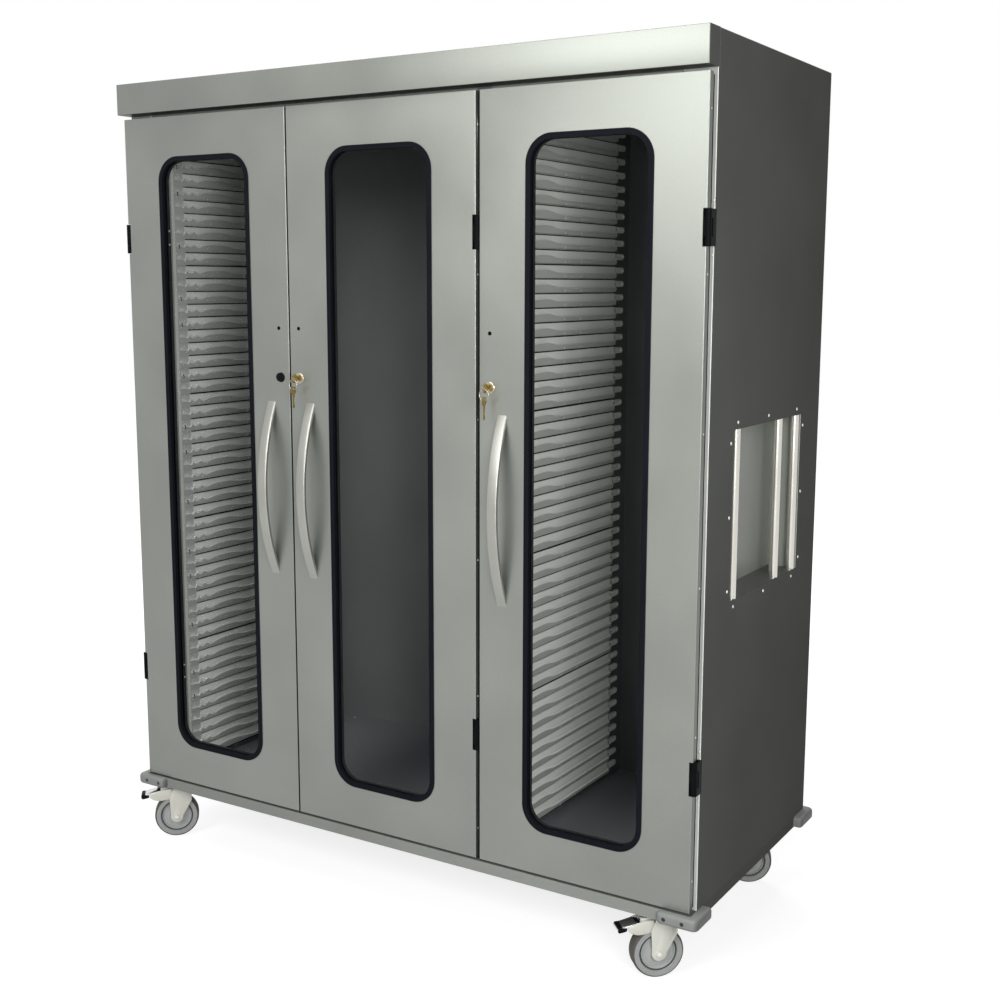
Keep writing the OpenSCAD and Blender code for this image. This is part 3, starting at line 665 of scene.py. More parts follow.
def copy_of_node(name: str, node: str) -> bpy.types.Object:
    """Copies a CAD node's mesh into a new object, with its triangles merged into flat faces.

    Args:
        name: Name of the copy.
        node: Name of the CAD node.

    Returns:
        The copy, without a finish.
    """
    work = bmesh.new()
    work.from_mesh(FRAME["nodes"][node].data)
    bmesh.ops.remove_doubles(work, verts=work.verts, dist=2e-6)
    bmesh.ops.dissolve_limit(work, angle_limit=math.radians(1.0), verts=work.verts, edges=work.edges)
    mesh = bpy.data.meshes.new(name)
    work.to_mesh(mesh)
    work.free()
    mesh.materials.clear()
    return new_object(name, mesh)


# Geometry Nodes


@dataclass(frozen=True)
class Inlet:
    """A named input of a geometry tree."""

    name: str
    kind: str
    value: object


class Pattern:
    """A geometry tree with named inputs, ending in real geometry with a finish."""

    def __init__(self, name: str, inlets: Sequence[Inlet]) -> None:
        """Starts an empty tree.

        Args:
            name: Name of the tree.
            inlets: The tree's named inputs.
        """
        self.tree = bpy.data.node_groups.new(name, "GeometryNodeTree")
        face = self.tree.interface
        face.new_socket(name="Geometry", in_out="INPUT", socket_type="NodeSocketGeometry")
        self.names: Dict[str, str] = {}
        for inlet in inlets:
            socket = face.new_socket(name=inlet.name, in_out="INPUT", socket_type=inlet.kind)
            socket.default_value = inlet.value
            self.names[inlet.name] = socket.identifier
        finish = face.new_socket(name="Finish", in_out="INPUT", socket_type="NodeSocketMaterial")
        self.names["Finish"] = finish.identifier
        face.new_socket(name="Geometry", in_out="OUTPUT", socket_type="NodeSocketGeometry")
        self.inputs = self.add("NodeGroupInput")

    def add(self, kind: str, links: Optional[dict] = None, **settings) -> bpy.types.Node:
        """Adds a node to the tree."""
        return add(self.tree, kind, links, **settings)

    def close(self, node: bpy.types.Node, output: str) -> "Pattern":
        """Ends the tree in Realize Instances and Set Material.

        Args:
            node: Node that feeds the end.
            output: Name of its output.

        Returns:
            The pattern.
        """
        real = self.add("GeometryNodeRealizeInstances", {"Geometry": (node, output)})
        dressed = self.add("GeometryNodeSetMaterial", {
            "Geometry": (real, 0), "Material": (self.inputs, "Finish")})
        self.add("NodeGroupOutput", {0: (dressed, 0)})
        return self

    def run(self, obj: bpy.types.Object, finish: Finishes, values: Dict[str, object]) -> bpy.types.Object:
        """Runs the tree on an object and leaves a plain mesh.

        Args:
            obj: Object whose mesh goes into the tree.
            finish: Finish of the result.
            values: Input names and their values.

        Returns:
            The same object, with the result as its mesh.
        """
        tool = obj.modifiers.new("pattern", "NODES")
        tool.node_group = self.tree
        tool[self.names["Finish"]] = finish.material
        for name, value in values.items():
            tool[self.names[name]] = value
        apply_tools(obj)
        return obj


def stack_pattern() -> Pattern:
    """Tree that stacks the given mesh in modules, each of several copies above one another.

    Returns:
        The pattern.
    """
    made = Pattern("stack of ribs", [
        Inlet("Copies", "NodeSocketInt", 10), Inlet("Pitch", "NodeSocketFloat", 0.031),
        Inlet("Modules", "NodeSocketInt", 5), Inlet("Module height", "NodeSocketFloat", 0.31)])
    instances = (made.inputs, "Geometry")
    for count, step in (("Copies", "Pitch"), ("Modules", "Module height")):
        rise = made.add("ShaderNodeCombineXYZ", {"Z": (made.inputs, step)})
        line = made.add("GeometryNodeMeshLine", {"Count": (made.inputs, count), "Offset": (rise, 0)})
        stack = made.add("GeometryNodeInstanceOnPoints", {"Points": (line, 0), "Instance": instances})
        instances = (stack, 0)
    return made.close(stack, "Instances")


def head_pattern() -> Pattern:
    """Tree that puts a domed head on each vertex of the given mesh.

    Returns:
        The pattern.
    """
    made = Pattern("domed heads", [
        Inlet("Radius", "NodeSocketFloat", 0.003), Inlet("Dome", "NodeSocketFloat", 0.45),
        Inlet("Turn", "NodeSocketVector", (0.0, 0.0, 0.0))])
    ball = made.add("GeometryNodeMeshUVSphere", {
        "Segments": 20, "Rings": 10, "Radius": (made.inputs, "Radius")})
    flat = made.add("ShaderNodeCombineXYZ", {"X": 1.0, "Y": 1.0, "Z": (made.inputs, "Dome")})
    dome = made.add("GeometryNodeTransform", {"Geometry": (ball, 0), "Scale": (flat, 0)})
    heads = made.add("GeometryNodeInstanceOnPoints", {
        "Points": (made.inputs, "Geometry"), "Instance": (dome, 0), "Rotation": (made.inputs, "Turn")})
    return made.close(heads, "Instances")


def bow_pattern() -> Pattern:
    """Tree that sweeps a rounded strip along an arc, for the bow handles.

    Returns:
        The pattern.
    """
    made = Pattern("bow strip", [
        Inlet("Radius", "NodeSocketFloat", 0.4785), Inlet("Sweep", "NodeSocketFloat", 0.9),
        Inlet("Width", "NodeSocketFloat", 0.024), Inlet("Thickness", "NodeSocketFloat", 0.009),
        Inlet("Softness", "NodeSocketFloat", 0.0032)])
    half = made.add("ShaderNodeMath", {0: (made.inputs, "Sweep"), 1: -0.5}, operation="MULTIPLY")
    bow = made.add("GeometryNodeCurveArc", {
        "Resolution": 65, "Radius": (made.inputs, "Radius"), "Start Angle": (half, 0),
        "Sweep Angle": (made.inputs, "Sweep")})
    strip = made.add("GeometryNodeCurvePrimitiveQuadrilateral", {
        "Width": (made.inputs, "Thickness"), "Height": (made.inputs, "Width")})
    soft = made.add("GeometryNodeFilletCurve", {
        "Curve": (strip, 0), "Radius": (made.inputs, "Softness"), "Limit Radius": True}, mode="POLY")
    for socket in soft.inputs:
        if socket.name == "Count":
            socket.default_value = 5
    swept = made.add("GeometryNodeCurveToMesh", {
        "Curve": (bow, 0), "Profile Curve": (soft, 0), "Fill Caps": True})
    return made.close(swept, "Mesh")


# Sub-assemblies


@dataclass
class Report:
    """Puts finished pieces on their bodies and reports them."""

    def place(self, obj: bpy.types.Object, body: str, slot: str, *nodes: str) -> None:
        """Fixes a piece to a body.

        Args:
            obj: The piece.
            body: Name of the CAD body that it moves with.
            slot: Material slot of the record that its finish belongs to; not used.
            *nodes: CAD nodes that the piece stands for.
        """
        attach(obj, body)
        if nodes:
            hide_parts(*nodes)
        LOG.info("%s on %s, %d faces", obj.name, body, len(obj.data.polygons))


@dataclass
class CadDress(Report):
    """Gives the carried-over CAD nodes their finishes, by their names or the names' endings."""

    table: Dict[str, Finishes] = field(default_factory=lambda: {
        "base_frame": Finishes.BASE, "floor_panel": Finishes.INSIDE, "back_panel": Finishes.BACK,
        "top_panel": Finishes.DOOR, "left_side_panel": Finishes.SIDE, "right_side_panel": Finishes.SIDE,
        "inner_walls": Finishes.INSIDE, "divider": Finishes.INSIDE, "fascia": Finishes.FASCIA,
        "door_seals": Finishes.RUBBER, "hand_pockets": Finishes.POCKET, "grab_bars": Finishes.BAR,
        "hinge_body_halves": Finishes.HINGE, "caster_plates": Finishes.FORK, "lock_cover": Finishes.PLUG,
        "door_skin": Finishes.DOOR, "door_liner": Finishes.LINER, "glass": Finishes.PANE,
        "gasket": Finishes.RUBBER, "hinge_halves": Finishes.HINGE, "lock_case": Finishes.NICKEL,
        "wheel": Finishes.WHEEL, "tyre": Finishes.TYRE, "fork": Finishes.FORK, "pedal": Finishes.PLUG,
        "corner_bumpers": Finishes.BUMPER, "cabinet_screws": Finishes.SCREW, "pocket_rivets": Finishes.SCREW,
        "tray_rails": Finishes.RAIL, "handle": Finishes.HANDLE, "lock_plug": Finishes.BRASS,
        "key_ring": Finishes.BRASS})

    def finish_of(self, node: str) -> Finishes:
        """Finds a node's finish.

        Args:
            node: Name of the CAD node.

        Returns:
            The finish of its whole name, or of the longest ending that the table has.
        """
        if node in self.table:
            return self.table[node]
        return self.table[max((k for k in self.table if node.endswith("_" + k)), key=len)]

    def build(self) -> None:
        """Dresses every node."""
        for node, obj in FRAME["nodes"].items():
            finish = self.finish_of(node).material
            if not obj.material_slots:
                obj.data.materials.append(finish)
            for entry in obj.material_slots:
                entry.material = finish


@dataclass
class FoldedSheets(Report):
    """Door skins, side panels, fascia and top panel with the small outer radius of folded sheet."""

    radius: float = 1.6
    side_radius: float = 3.0
    # Place of the black strip on the left door's free edge that paints the shade in the gap between the doors
    shade_strip_depth: Pair = (0.7, 10.0)
    shade_strip_width: Pair = (0.7, 2.1)
    shade_strip_height: Pair = (1.5, 1588.5)

    def rounded(self, name: str, node: str, radius: float) -> bpy.types.Object:
        """Copies a node and rounds the edges of its front face, or of its top face for the top panel.

        Args:
            name: Name of the piece.
            node: CAD node that is copied.
            radius: Radius of the edges in millimetres.

        Returns:
            The piece.
        """
        obj = copy_of_node(name, node)
        work = bmesh.new()
        work.from_mesh(obj.data)
        low = [min(v.co[k] for v in work.verts) for k in range(3)]
        high = [max(v.co[k] for v in work.verts) for k in range(3)]
        face, level = (2, high[2]) if node == "top_panel" else (1, low[1])
        rims = [(k, side[k]) for k in range(3) if k != face for side in (low, high)]

        def lies(edge: bmesh.types.BMEdge, k: int, value: float) -> bool:
            """Whether both ends of an edge lie at a value of one axis."""
            return all(abs(v.co[k] - value) < 0.02 * MM for v in edge.verts)

        edges = [e for e in work.edges
                 if lies(e, face, level) and any(lies(e, k, value) for k, value in rims)]
        bmesh.ops.bevel(work, geom=edges, offset=radius * MM, segments=3, profile=0.5, affect="EDGES",
                        clamp_overlap=True)
        bmesh.ops.recalc_face_normals(work, faces=work.faces)
        work.to_mesh(obj.data)
        work.free()
        obj.data.materials.append(CadDress().finish_of(node).material)
        # The fascia's ends take the side coat, for its painted shade
        if node == "fascia":
            obj.data.materials.append(Finishes.SIDE.material)
            for polygon in obj.data.polygons:
                polygon.material_index = int(abs(polygon.normal.x) > 0.95)
        soften(obj.data, 15.0)
        return obj

    def build(self) -> None:
        """Replaces the sheets by their rounded copies."""
        sheets = [(door + "_door_sheet", door + "_door_skin", self.radius, door + "_door", "door_steel")
                  for door in ("left", "middle", "right")]
        sheets += [("fascia_sheet", "fascia", self.radius, "cabinet", "fascia_steel"),
                   ("top_sheet", "top_panel", self.radius, "cabinet", "body_steel")]
        sheets += [(side + "_side_sheet", side + "_side_panel", self.side_radius, "cabinet", "side_steel")
                   for side in ("left", "right")]
        for name, node, radius, body, slot in sheets:
            self.place(self.rounded(name, node, radius), body, slot, node)

    def shade_strip(self) -> None:
        """Black strip on the left door's free edge, clear of the middle door, standing in as painted shade in
        the gap between the doors.
        """
        points = [at(LEFT_FREE + x, y, z) for z in self.shade_strip_height for x, y in (
            (self.shade_strip_width[0], self.shade_strip_depth[0]), (self.shade_strip_width[1], self.shade_strip_depth[0]),
            (self.shade_strip_width[1], self.shade_strip_depth[1]), (self.shade_strip_width[0], self.shade_strip_depth[1]))]
        mesh = mesh_from("strip", points, caps(4, 2) + bands(4, 2))
        # A black strip in the door gap, painted shade
        strip = bevelled(joined("left_door_edge_shade_strip", [mesh], [Finishes.RUBBER]), 0.5)
        self.place(strip, "left_door", "black_rubber")


@dataclass
class TrayRails(Report):
    """The stacks of ribbed rails on the walls and the divider.

    A rib runs from its front strip over a smooth part to the grooved part. Its ledge rises and falls along it
    by the knots of the ledge table: distance from the front end, and rise. The plain stations are places
    without a knot.
    """

    front: float = 66.0
    end: float = 558.0
    lowest: float = 15.0
    pitch: float = 31.0
    copies: int = 10
    modules: int = 5
    depth: float = 12.0
    strip: float = 12.0
    smooth: float = 44.0
    step: float = 0.2
    finger: float = 38.0
    finger_half: float = 7.0
    finger_inner: float = 3.0
    finger_z: float = 22.0
    wall_x: float = 671.0
    divider_left: float = 228.0
    divider_right: float = 262.0
    ledge: Tuple[Pair, ...] = (
        (12.0, 0.0), (29.0, -0.5), (40.0, -4.0), (45.0, 2.5), (52.0, -1.0), (59.0, -3.0), (66.0, 0.5),
        (71.0, 4.0), (79.0, -0.5), (88.0, -3.8), (98.0, -1.0), (110.0, 1.6), (122.0, 3.0), (140.0, 3.8),
        (157.0, 4.0), (174.0, 3.4), (191.0, 1.4), (209.0, -1.8), (230.0, -2.8), (253.0, -3.0))
    plain: Point = (20.0, 330.0, 420.0)

    def wave(self, y: float) -> float:
        """Finds how far the rib's ledge is raised.

        Args:
            y: Distance from the rib's front end in millimetres.

        Returns:
            The rise in millimetres.
        """
        for (y0, w0), (y1, w1) in zip(self.ledge, self.ledge[1:]):
            if y <= y1:
                return w0 + (w1 - w0) * max(0.0, y - y0) / (y1 - y0)
        return self.ledge[-1][1]

    def section(self, y: float) -> List[Pair]:
        """Gives a rib's outline, from the wall out along its lower side and back along its upper side.

        Args:
            y: Distance from the rib's front end in millimetres.

        Returns:
            Depths and heights in millimetres.
        """
        lip, rise, top = self.depth, self.wave(y), self.pitch - 0.1
        nose = [(lip - 0.1, 14.0 + rise), (lip, 15.6 + rise)]
        if y <= self.strip:
            face = [(lip - 1.0, 0.0), (lip, 0.1), (lip, 5.6), (lip, 14.0), (lip, 16.5), (lip, 19.0),
                    (lip, 29.6), (lip - 1.0, top)]
        elif y <= self.smooth:
            face = [(lip - 2.0, 0.0), (lip - 2.0, 0.4), (lip - 1.6, 5.6)] + nose
            face += [(lip - 3.0, 18.2 + rise), (lip - 4.2, 29.6), (lip - 4.2, top)]
        else:
            face = [(2.8, 3.6), (lip - 2.0, 4.2), (lip - 1.6, 5.6 + 0.2 * rise)] + nose
            face += [(lip - 3.4, 18.2 + rise), (lip - 5.8, 29.6), (lip - 6.2, top - 0.3)]
        return [(0.0, 0.0), (2.4, 0.0)] + face + [(2.8, top), (0.0, top)]

    def rib(self, x: float, side: int) -> bpy.types.Mesh:
        """Builds one rib.

        Args:
            x: The wall's place.
            side: Side of X that the wall faces.

        Returns:
            The mesh.
        """
        stations = [0.0, self.strip, self.strip + self.step, self.smooth, self.smooth + self.step]
        stations += [y for y, _ in self.ledge[1:]] + list(self.plain) + [self.end - self.front]
        stations.sort()
        points: List[Vector] = []
        for y in stations:
            points += [at(x + side * d, self.front + y, self.lowest + z) for d, z in self.section(y)]
        size = len(points) // len(stations)
        return mesh_from("rib", points, bands(size, len(stations)) + caps(size, len(stations)), 12.0)

    def fingers(self, x: float, side: int) -> bpy.types.Mesh:
        """Builds the rounded finger behind a rib, with a raised rim round a sunk middle.

        Args:
            x: The wall's place.
            side: Side of X that the wall faces.

        Returns:
            The mesh.
        """
        start, reach = self.end - 2.0, self.finger + 2.0
        half, inner = self.finger_half, self.finger_inner
        rows = ((half, reach, 5.0), (half, reach, 10.4), (half - 0.9, reach - 0.9, 11.2),
                (inner + 0.6, reach - 4.4, 11.2), (inner, reach - 5.0, 7.6))
        points: List[Vector] = []
        for h, far, d in rows:
            outline = [(0.0, -h)] + arc(h, -90.0, 90.0, 8, (far - h, 0.0)) + [(0.0, h)]
            points += [at(x + side * d, start + u, self.lowest + self.finger_z + v) for u, v in outline]
        size = len(points) // len(rows)
        return mesh_from("finger", points, bands(size, len(rows)) + caps(size, len(rows)), 30.0)

    def marks(self, x: float, side: int, spots: Sequence[Sequence[float]]) -> bpy.types.Mesh:
        """Builds small blocks on the rail.

        Args:
            x: The wall's place.
            side: Side of X that the wall faces.
            spots: Middle along Y, middle height, half length, half height, low and high depth of each.

        Returns:
            The mesh.
        """
        points, faces = [], []
        for y, z, half_l, half_h, low, high in spots:
            faces += caps(4, 2, len(points)) + bands(4, 2, len(points))
            for d, inset in ((low, 0.0), (high, 0.3)):
                points += [at(x + side * d, y + u * (half_l - inset), self.lowest + z + v * (half_h - inset))
                           for u, v in ((-1, -1), (1, -1), (1, 1), (-1, 1))]
        return mesh_from("marks", points, faces)

    def pale_spots(self) -> List[Sequence[float]]:
        """Gives the pale blocks of one rib: front strip, long dash, dots, uprights and moulding flecks; the
        front strip is pale with painted light.

        Returns:
            The blocks, as marks takes them.
        """
        d, end, mid = self.depth, self.end, self.pitch / 2
        spots = [(self.front + 4.8, mid, 4.6, mid, d - 1.0, d + 0.2),
                 (end - 53, 12.4, 15.0, 1.0, d - 1.8, d + 0.2)]
        spots += [(end - back, 12.8, 2.2, 1.7, d - 1.8, d + 0.1) for back in (111, 190)]
        spots += [(end - back, 9.0, 1.2, 4.5, d - 1.8, d - 0.1) for back in (174, 247)]
        spots += [(self.front + u, v, 4.2, 1.6, d - 3.6, d + 0.1)
                  for u, v in ((21.0, 21.0), (50.0, 19.5), (62.0, 16.0), (88.0, 13.8))]
        return spots

    def groove_shade_spots(self) -> List[Sequence[float]]:
        """Gives the dark strip in the groove under one rib, painted shade, as marks takes it."""
        run = self.end - self.front - self.smooth
        return [(self.front + self.smooth + run / 2, 0.9, run / 2 - 1.0, 1.5, 2.5, 3.4)]

    def slot_spots(self) -> List[Sequence[float]]:
        """Gives the dark slots at three ribs of a module and the seam under it.

        Returns:
            The blocks, as marks takes them.
        """
        run = self.end - self.front
        spots = [(self.front + 23.0, 14.0 + n * self.pitch, 1.3, 5.0, 4.0, self.depth + 0.1)
                 for n in (1, 5, 7)]
        return spots + [(self.front + run / 2, -0.3, run / 2 - 3.0, 0.5, 2.0, self.depth - 4.0)]

    def stack(self, meshes: Sequence[bpy.types.Mesh], finish: Finishes, pattern: Pattern,
              copies: int) -> bpy.types.Mesh:
        """Stacks the meshes of one rib or of one module over the whole height.

        Args:
            meshes: The meshes.
            finish: Their finish.
            pattern: Tree that stacks them.
            copies: Copies in each module.

        Returns:
            The stack as one mesh.
        """
        obj = joined("stack", meshes, [finish] * len(meshes))
        pattern.run(obj, finish, {"Copies": copies, "Pitch": self.pitch * MM, "Modules": self.modules,
                                  "Module height": self.copies * self.pitch * MM})
        return taken(obj)[0]

    def build(self, pattern: Pattern) -> None:
        """Builds the four stacks as two pieces.

        Args:
            pattern: Tree that stacks ribs.
        """
        for name, walls in (("wall", ((-self.wall_x, 1), (self.wall_x, -1))),
                            ("divider", ((self.divider_left, -1), (self.divider_right, 1)))):
            meshes, dress = [], []
            for x, side in walls:
                # Front strips and fingers take the pale finish as painted light
                pale = [self.marks(x, side, self.pale_spots()), self.fingers(x, side)]
                for finish, copies, parts in (
                        (Finishes.RAIL, self.copies, [self.rib(x, side)]),
                        (Finishes.BEAD, self.copies, pale),
                        # Dark strips in the grooves under the ribs: painted shade
                        (Finishes.SEAM, self.copies, [self.marks(x, side, self.groove_shade_spots())]),
                        (Finishes.SEAM, 1, [self.marks(x, side, self.slot_spots())])):
                    meshes.append(self.stack(parts, finish, pattern, copies))
                    dress.append(finish)
            self.place(joined(name + "_rails", meshes, dress), "cabinet", "rail_plastic",
                       name + "_tray_rails")


@dataclass
class Fasteners(Report):
    """Rivets and screws on the body and the doors."""

    pocket_y: float = 150.0
    pocket_z: float = 595.0
    pocket_size: Pair = (382.0, 341.0)
    pocket_out: float = 13.5
    pocket_along: Point = (20.0, 186.0, 355.0)
    pocket_up: Point = (23.0, 170.0, 316.0)
    bumper_along: Pair = (32.0, 71.0)
    floor_along: Tuple[float, ...] = (-560.0, -230.0, 100.0, 330.0, 560.0)
    floor_y: float = 612.0
    hinge_z: Pair = (274.0, 1316.7)
    flange_up: float = 48.4
    flange_in: float = 2.3
    flange_y: float = 26.4
    edge_rivets: int = 6
    edge_first: float = 64.1
    edge_pitch: float = 292.3
    edge_y: float = 9.0
    leaf_out: float = 117.7
    leaf_y: float = 16.2
    leaf_up: Pair = (-14.0, 17.0)

    def heads(self, spots: Sequence[Vector], turn: Point, radius: float, dome: float, finish: Finishes,
              pattern: Pattern) -> bpy.types.Mesh:
        """Builds domed heads at the places, as one mesh.

        Args:
            spots: The places in metres.
            turn: Turn of the heads in radians.
            radius: Radius of a head in millimetres.
            dome: Height of a head as a share of its radius.
            finish: The finish.
            pattern: Tree that puts heads on points.

        Returns:
            The mesh.
        """
        obj = new_object("heads", loose_mesh("spots", spots))
        pattern.run(obj, finish, {"Radius": radius * MM, "Dome": dome, "Turn": turn})
        return taken(obj)[0]

    def build(self, pattern: Pattern) -> None:
        """Builds the rivets of pockets and doors, and the screws of bumpers, flange and floor.

        Args:
            pattern: Tree that puts heads on points.
        """
        flat, sideways, forward = (0.0, 0.0, 0.0), (0.0, math.pi / 2, 0.0), (math.pi / 2, 0.0, 0.0)
        length, height = self.pocket_size
        out = self.pocket_out
        sides = (-1, 1)
        meshes = []
        for side in sides:
            spots = [(y, dz) for dz in self.pocket_up for y in (-out, length + out)]
            spots += [(dy, z) for dy in self.pocket_along for z in (-out, height + out)]
            spots = [at(side * SIDE_X, self.pocket_y + u, self.pocket_z + v) for u, v in spots]
            meshes.append(self.heads(spots, sideways, 3.4, 0.38, Finishes.SCREW, pattern))
        self.place(joined("pocket_rivet_heads", meshes, [Finishes.SCREW] * len(meshes)), "cabinet",
                   "bright_steel", "pocket_rivets")

        bumper = [at(side * (SIDE_X + BUMPER_SIDE - inset), BASE_FRONT - BUMPER_OUT + 0.1, BASE_LOW + 12.4)
                  for side in sides for inset in self.bumper_along]
        flange = [at(side * (SIDE_X - self.flange_in), self.flange_y, z + up * self.flange_up)
                  for side in sides for z in self.hinge_z for up in sides]
        meshes = [self.heads(bumper, forward, 4.4, 0.16, Finishes.DARK_SCREW, pattern),
                  self.heads(flange, forward, 2.3, 0.8, Finishes.SCREW, pattern)]
        self.place(joined("body_screw_heads", meshes, [Finishes.DARK_SCREW, Finishes.SCREW]), "cabinet",
                   "bright_steel", "cabinet_screws")

        floor = [at(x, self.floor_y, 0.2) for x in self.floor_along]
        mesh = self.heads(floor, flat, 3.2, 0.4, Finishes.SCREW, pattern)
        self.place(joined("inside_screws", [mesh], [Finishes.SCREW]), "cabinet", "bright_steel")

        for door, (free, side) in DOORS.items():
            hinge = free + side * DOOR_W
            rows = [self.edge_first + n * self.edge_pitch for n in range(self.edge_rivets)]
            spots = [at(x, self.edge_y, z) for x in (free - side * 0.1, hinge + side * 0.1) for z in rows]
            spots += [at(hinge - side * self.leaf_out, self.leaf_y, z + up)
                      for z in self.hinge_z for up in self.leaf_up]
            mesh = self.heads(spots, sideways, 2.2, 0.4, Finishes.SCREW, pattern)
            self.place(joined(door + "_edge_rivets", [mesh], [Finishes.SCREW]), door + "_door",
                       "bright_steel")


@dataclass
class CoverPlug(Report):
    """Domed black plug with a wide rim, where the left door has no lock."""

    radius: float = 10.9
    shank: float = 9.0
    lift: float = 0.02
    sunk: float = 3.0

    def build(self) -> None:
        """Turns the plug and puts it on the left door."""
        profile = [(0.0, 1.9), (6.0, 1.8), (9.2, 1.4), (10.6, 0.7), (self.radius, self.lift),
                   (self.shank, self.lift), (self.shank, -self.sunk), (0.0, -self.sunk)]
        mesh = turned("plug", profile, at(LEFT_FREE - LOCK_INSET, 0.0, LOCK_Z), OUTWARD)
        self.place(joined("left_cover_plug", [mesh], [Finishes.PLUG]), "left_door", "black_plastic")


@dataclass
class BowHandle(Report):
    """A crowned bow handle on one door, between its free edge and its window."""

    door: str
    free: float
    side: int
    inset: float = 53.8
    length: float = 394.0
    out: float = 41.9
    thickness: float = 9.0
    width: float = 24.0
    soft: float = 3.2
    low: float = 560.0
    spare: float = 1.08

    def build(self, pattern: Pattern) -> None:
        """Sweeps the strip a little too long, cuts its feet flat on the door and puts it in place.

        Args:
            pattern: Tree that sweeps the strip.
        """
        outer = ((self.length / 2) ** 2 + self.out ** 2) / (2 * self.out)
        sweep = 2 * math.asin(self.length / 2 / outer) * self.spare
        obj = new_object(self.door + "_bow_handle", loose_mesh("bow seed", [(0, 0, 0)]))
        pattern.run(obj, Finishes.HANDLE, {
            "Radius": (outer - self.thickness / 2) * MM, "Sweep": sweep, "Width": self.width * MM,
            "Thickness": self.thickness * MM, "Softness": self.soft * MM})
        centre = at(self.free + self.side * self.inset, outer - self.out, self.low + self.length / 2)
        # The arc lies in X-Y and opens along +X, so +X turns to -Y and +Y turns to +Z
        turn = Matrix(((0, 0, 1), (-1, 0, 0), (0, 1, 0)))
        work = bmesh.new()
        work.from_mesh(obj.data)
        for v in work.verts:
            v.co = centre + turn @ v.co
        found = bmesh.ops.bisect_plane(work, geom=work.verts[:] + work.edges[:] + work.faces[:],
                                       plane_co=at(0, -0.05, 0), plane_no=(0, 1, 0), clear_outer=True)
        bmesh.ops.holes_fill(work, edges=[e for e in found["geom_cut"] if isinstance(e, bmesh.types.BMEdge)])
        bmesh.ops.remove_doubles(work, verts=work.verts, dist=1e-6)
        bmesh.ops.recalc_face_normals(work, faces=work.faces)
        work.to_mesh(obj.data)
        work.free()
        soften(obj.data, 40.0)
        self.place(obj, self.door + "_door", "satin_alloy", self.door + "_handle")


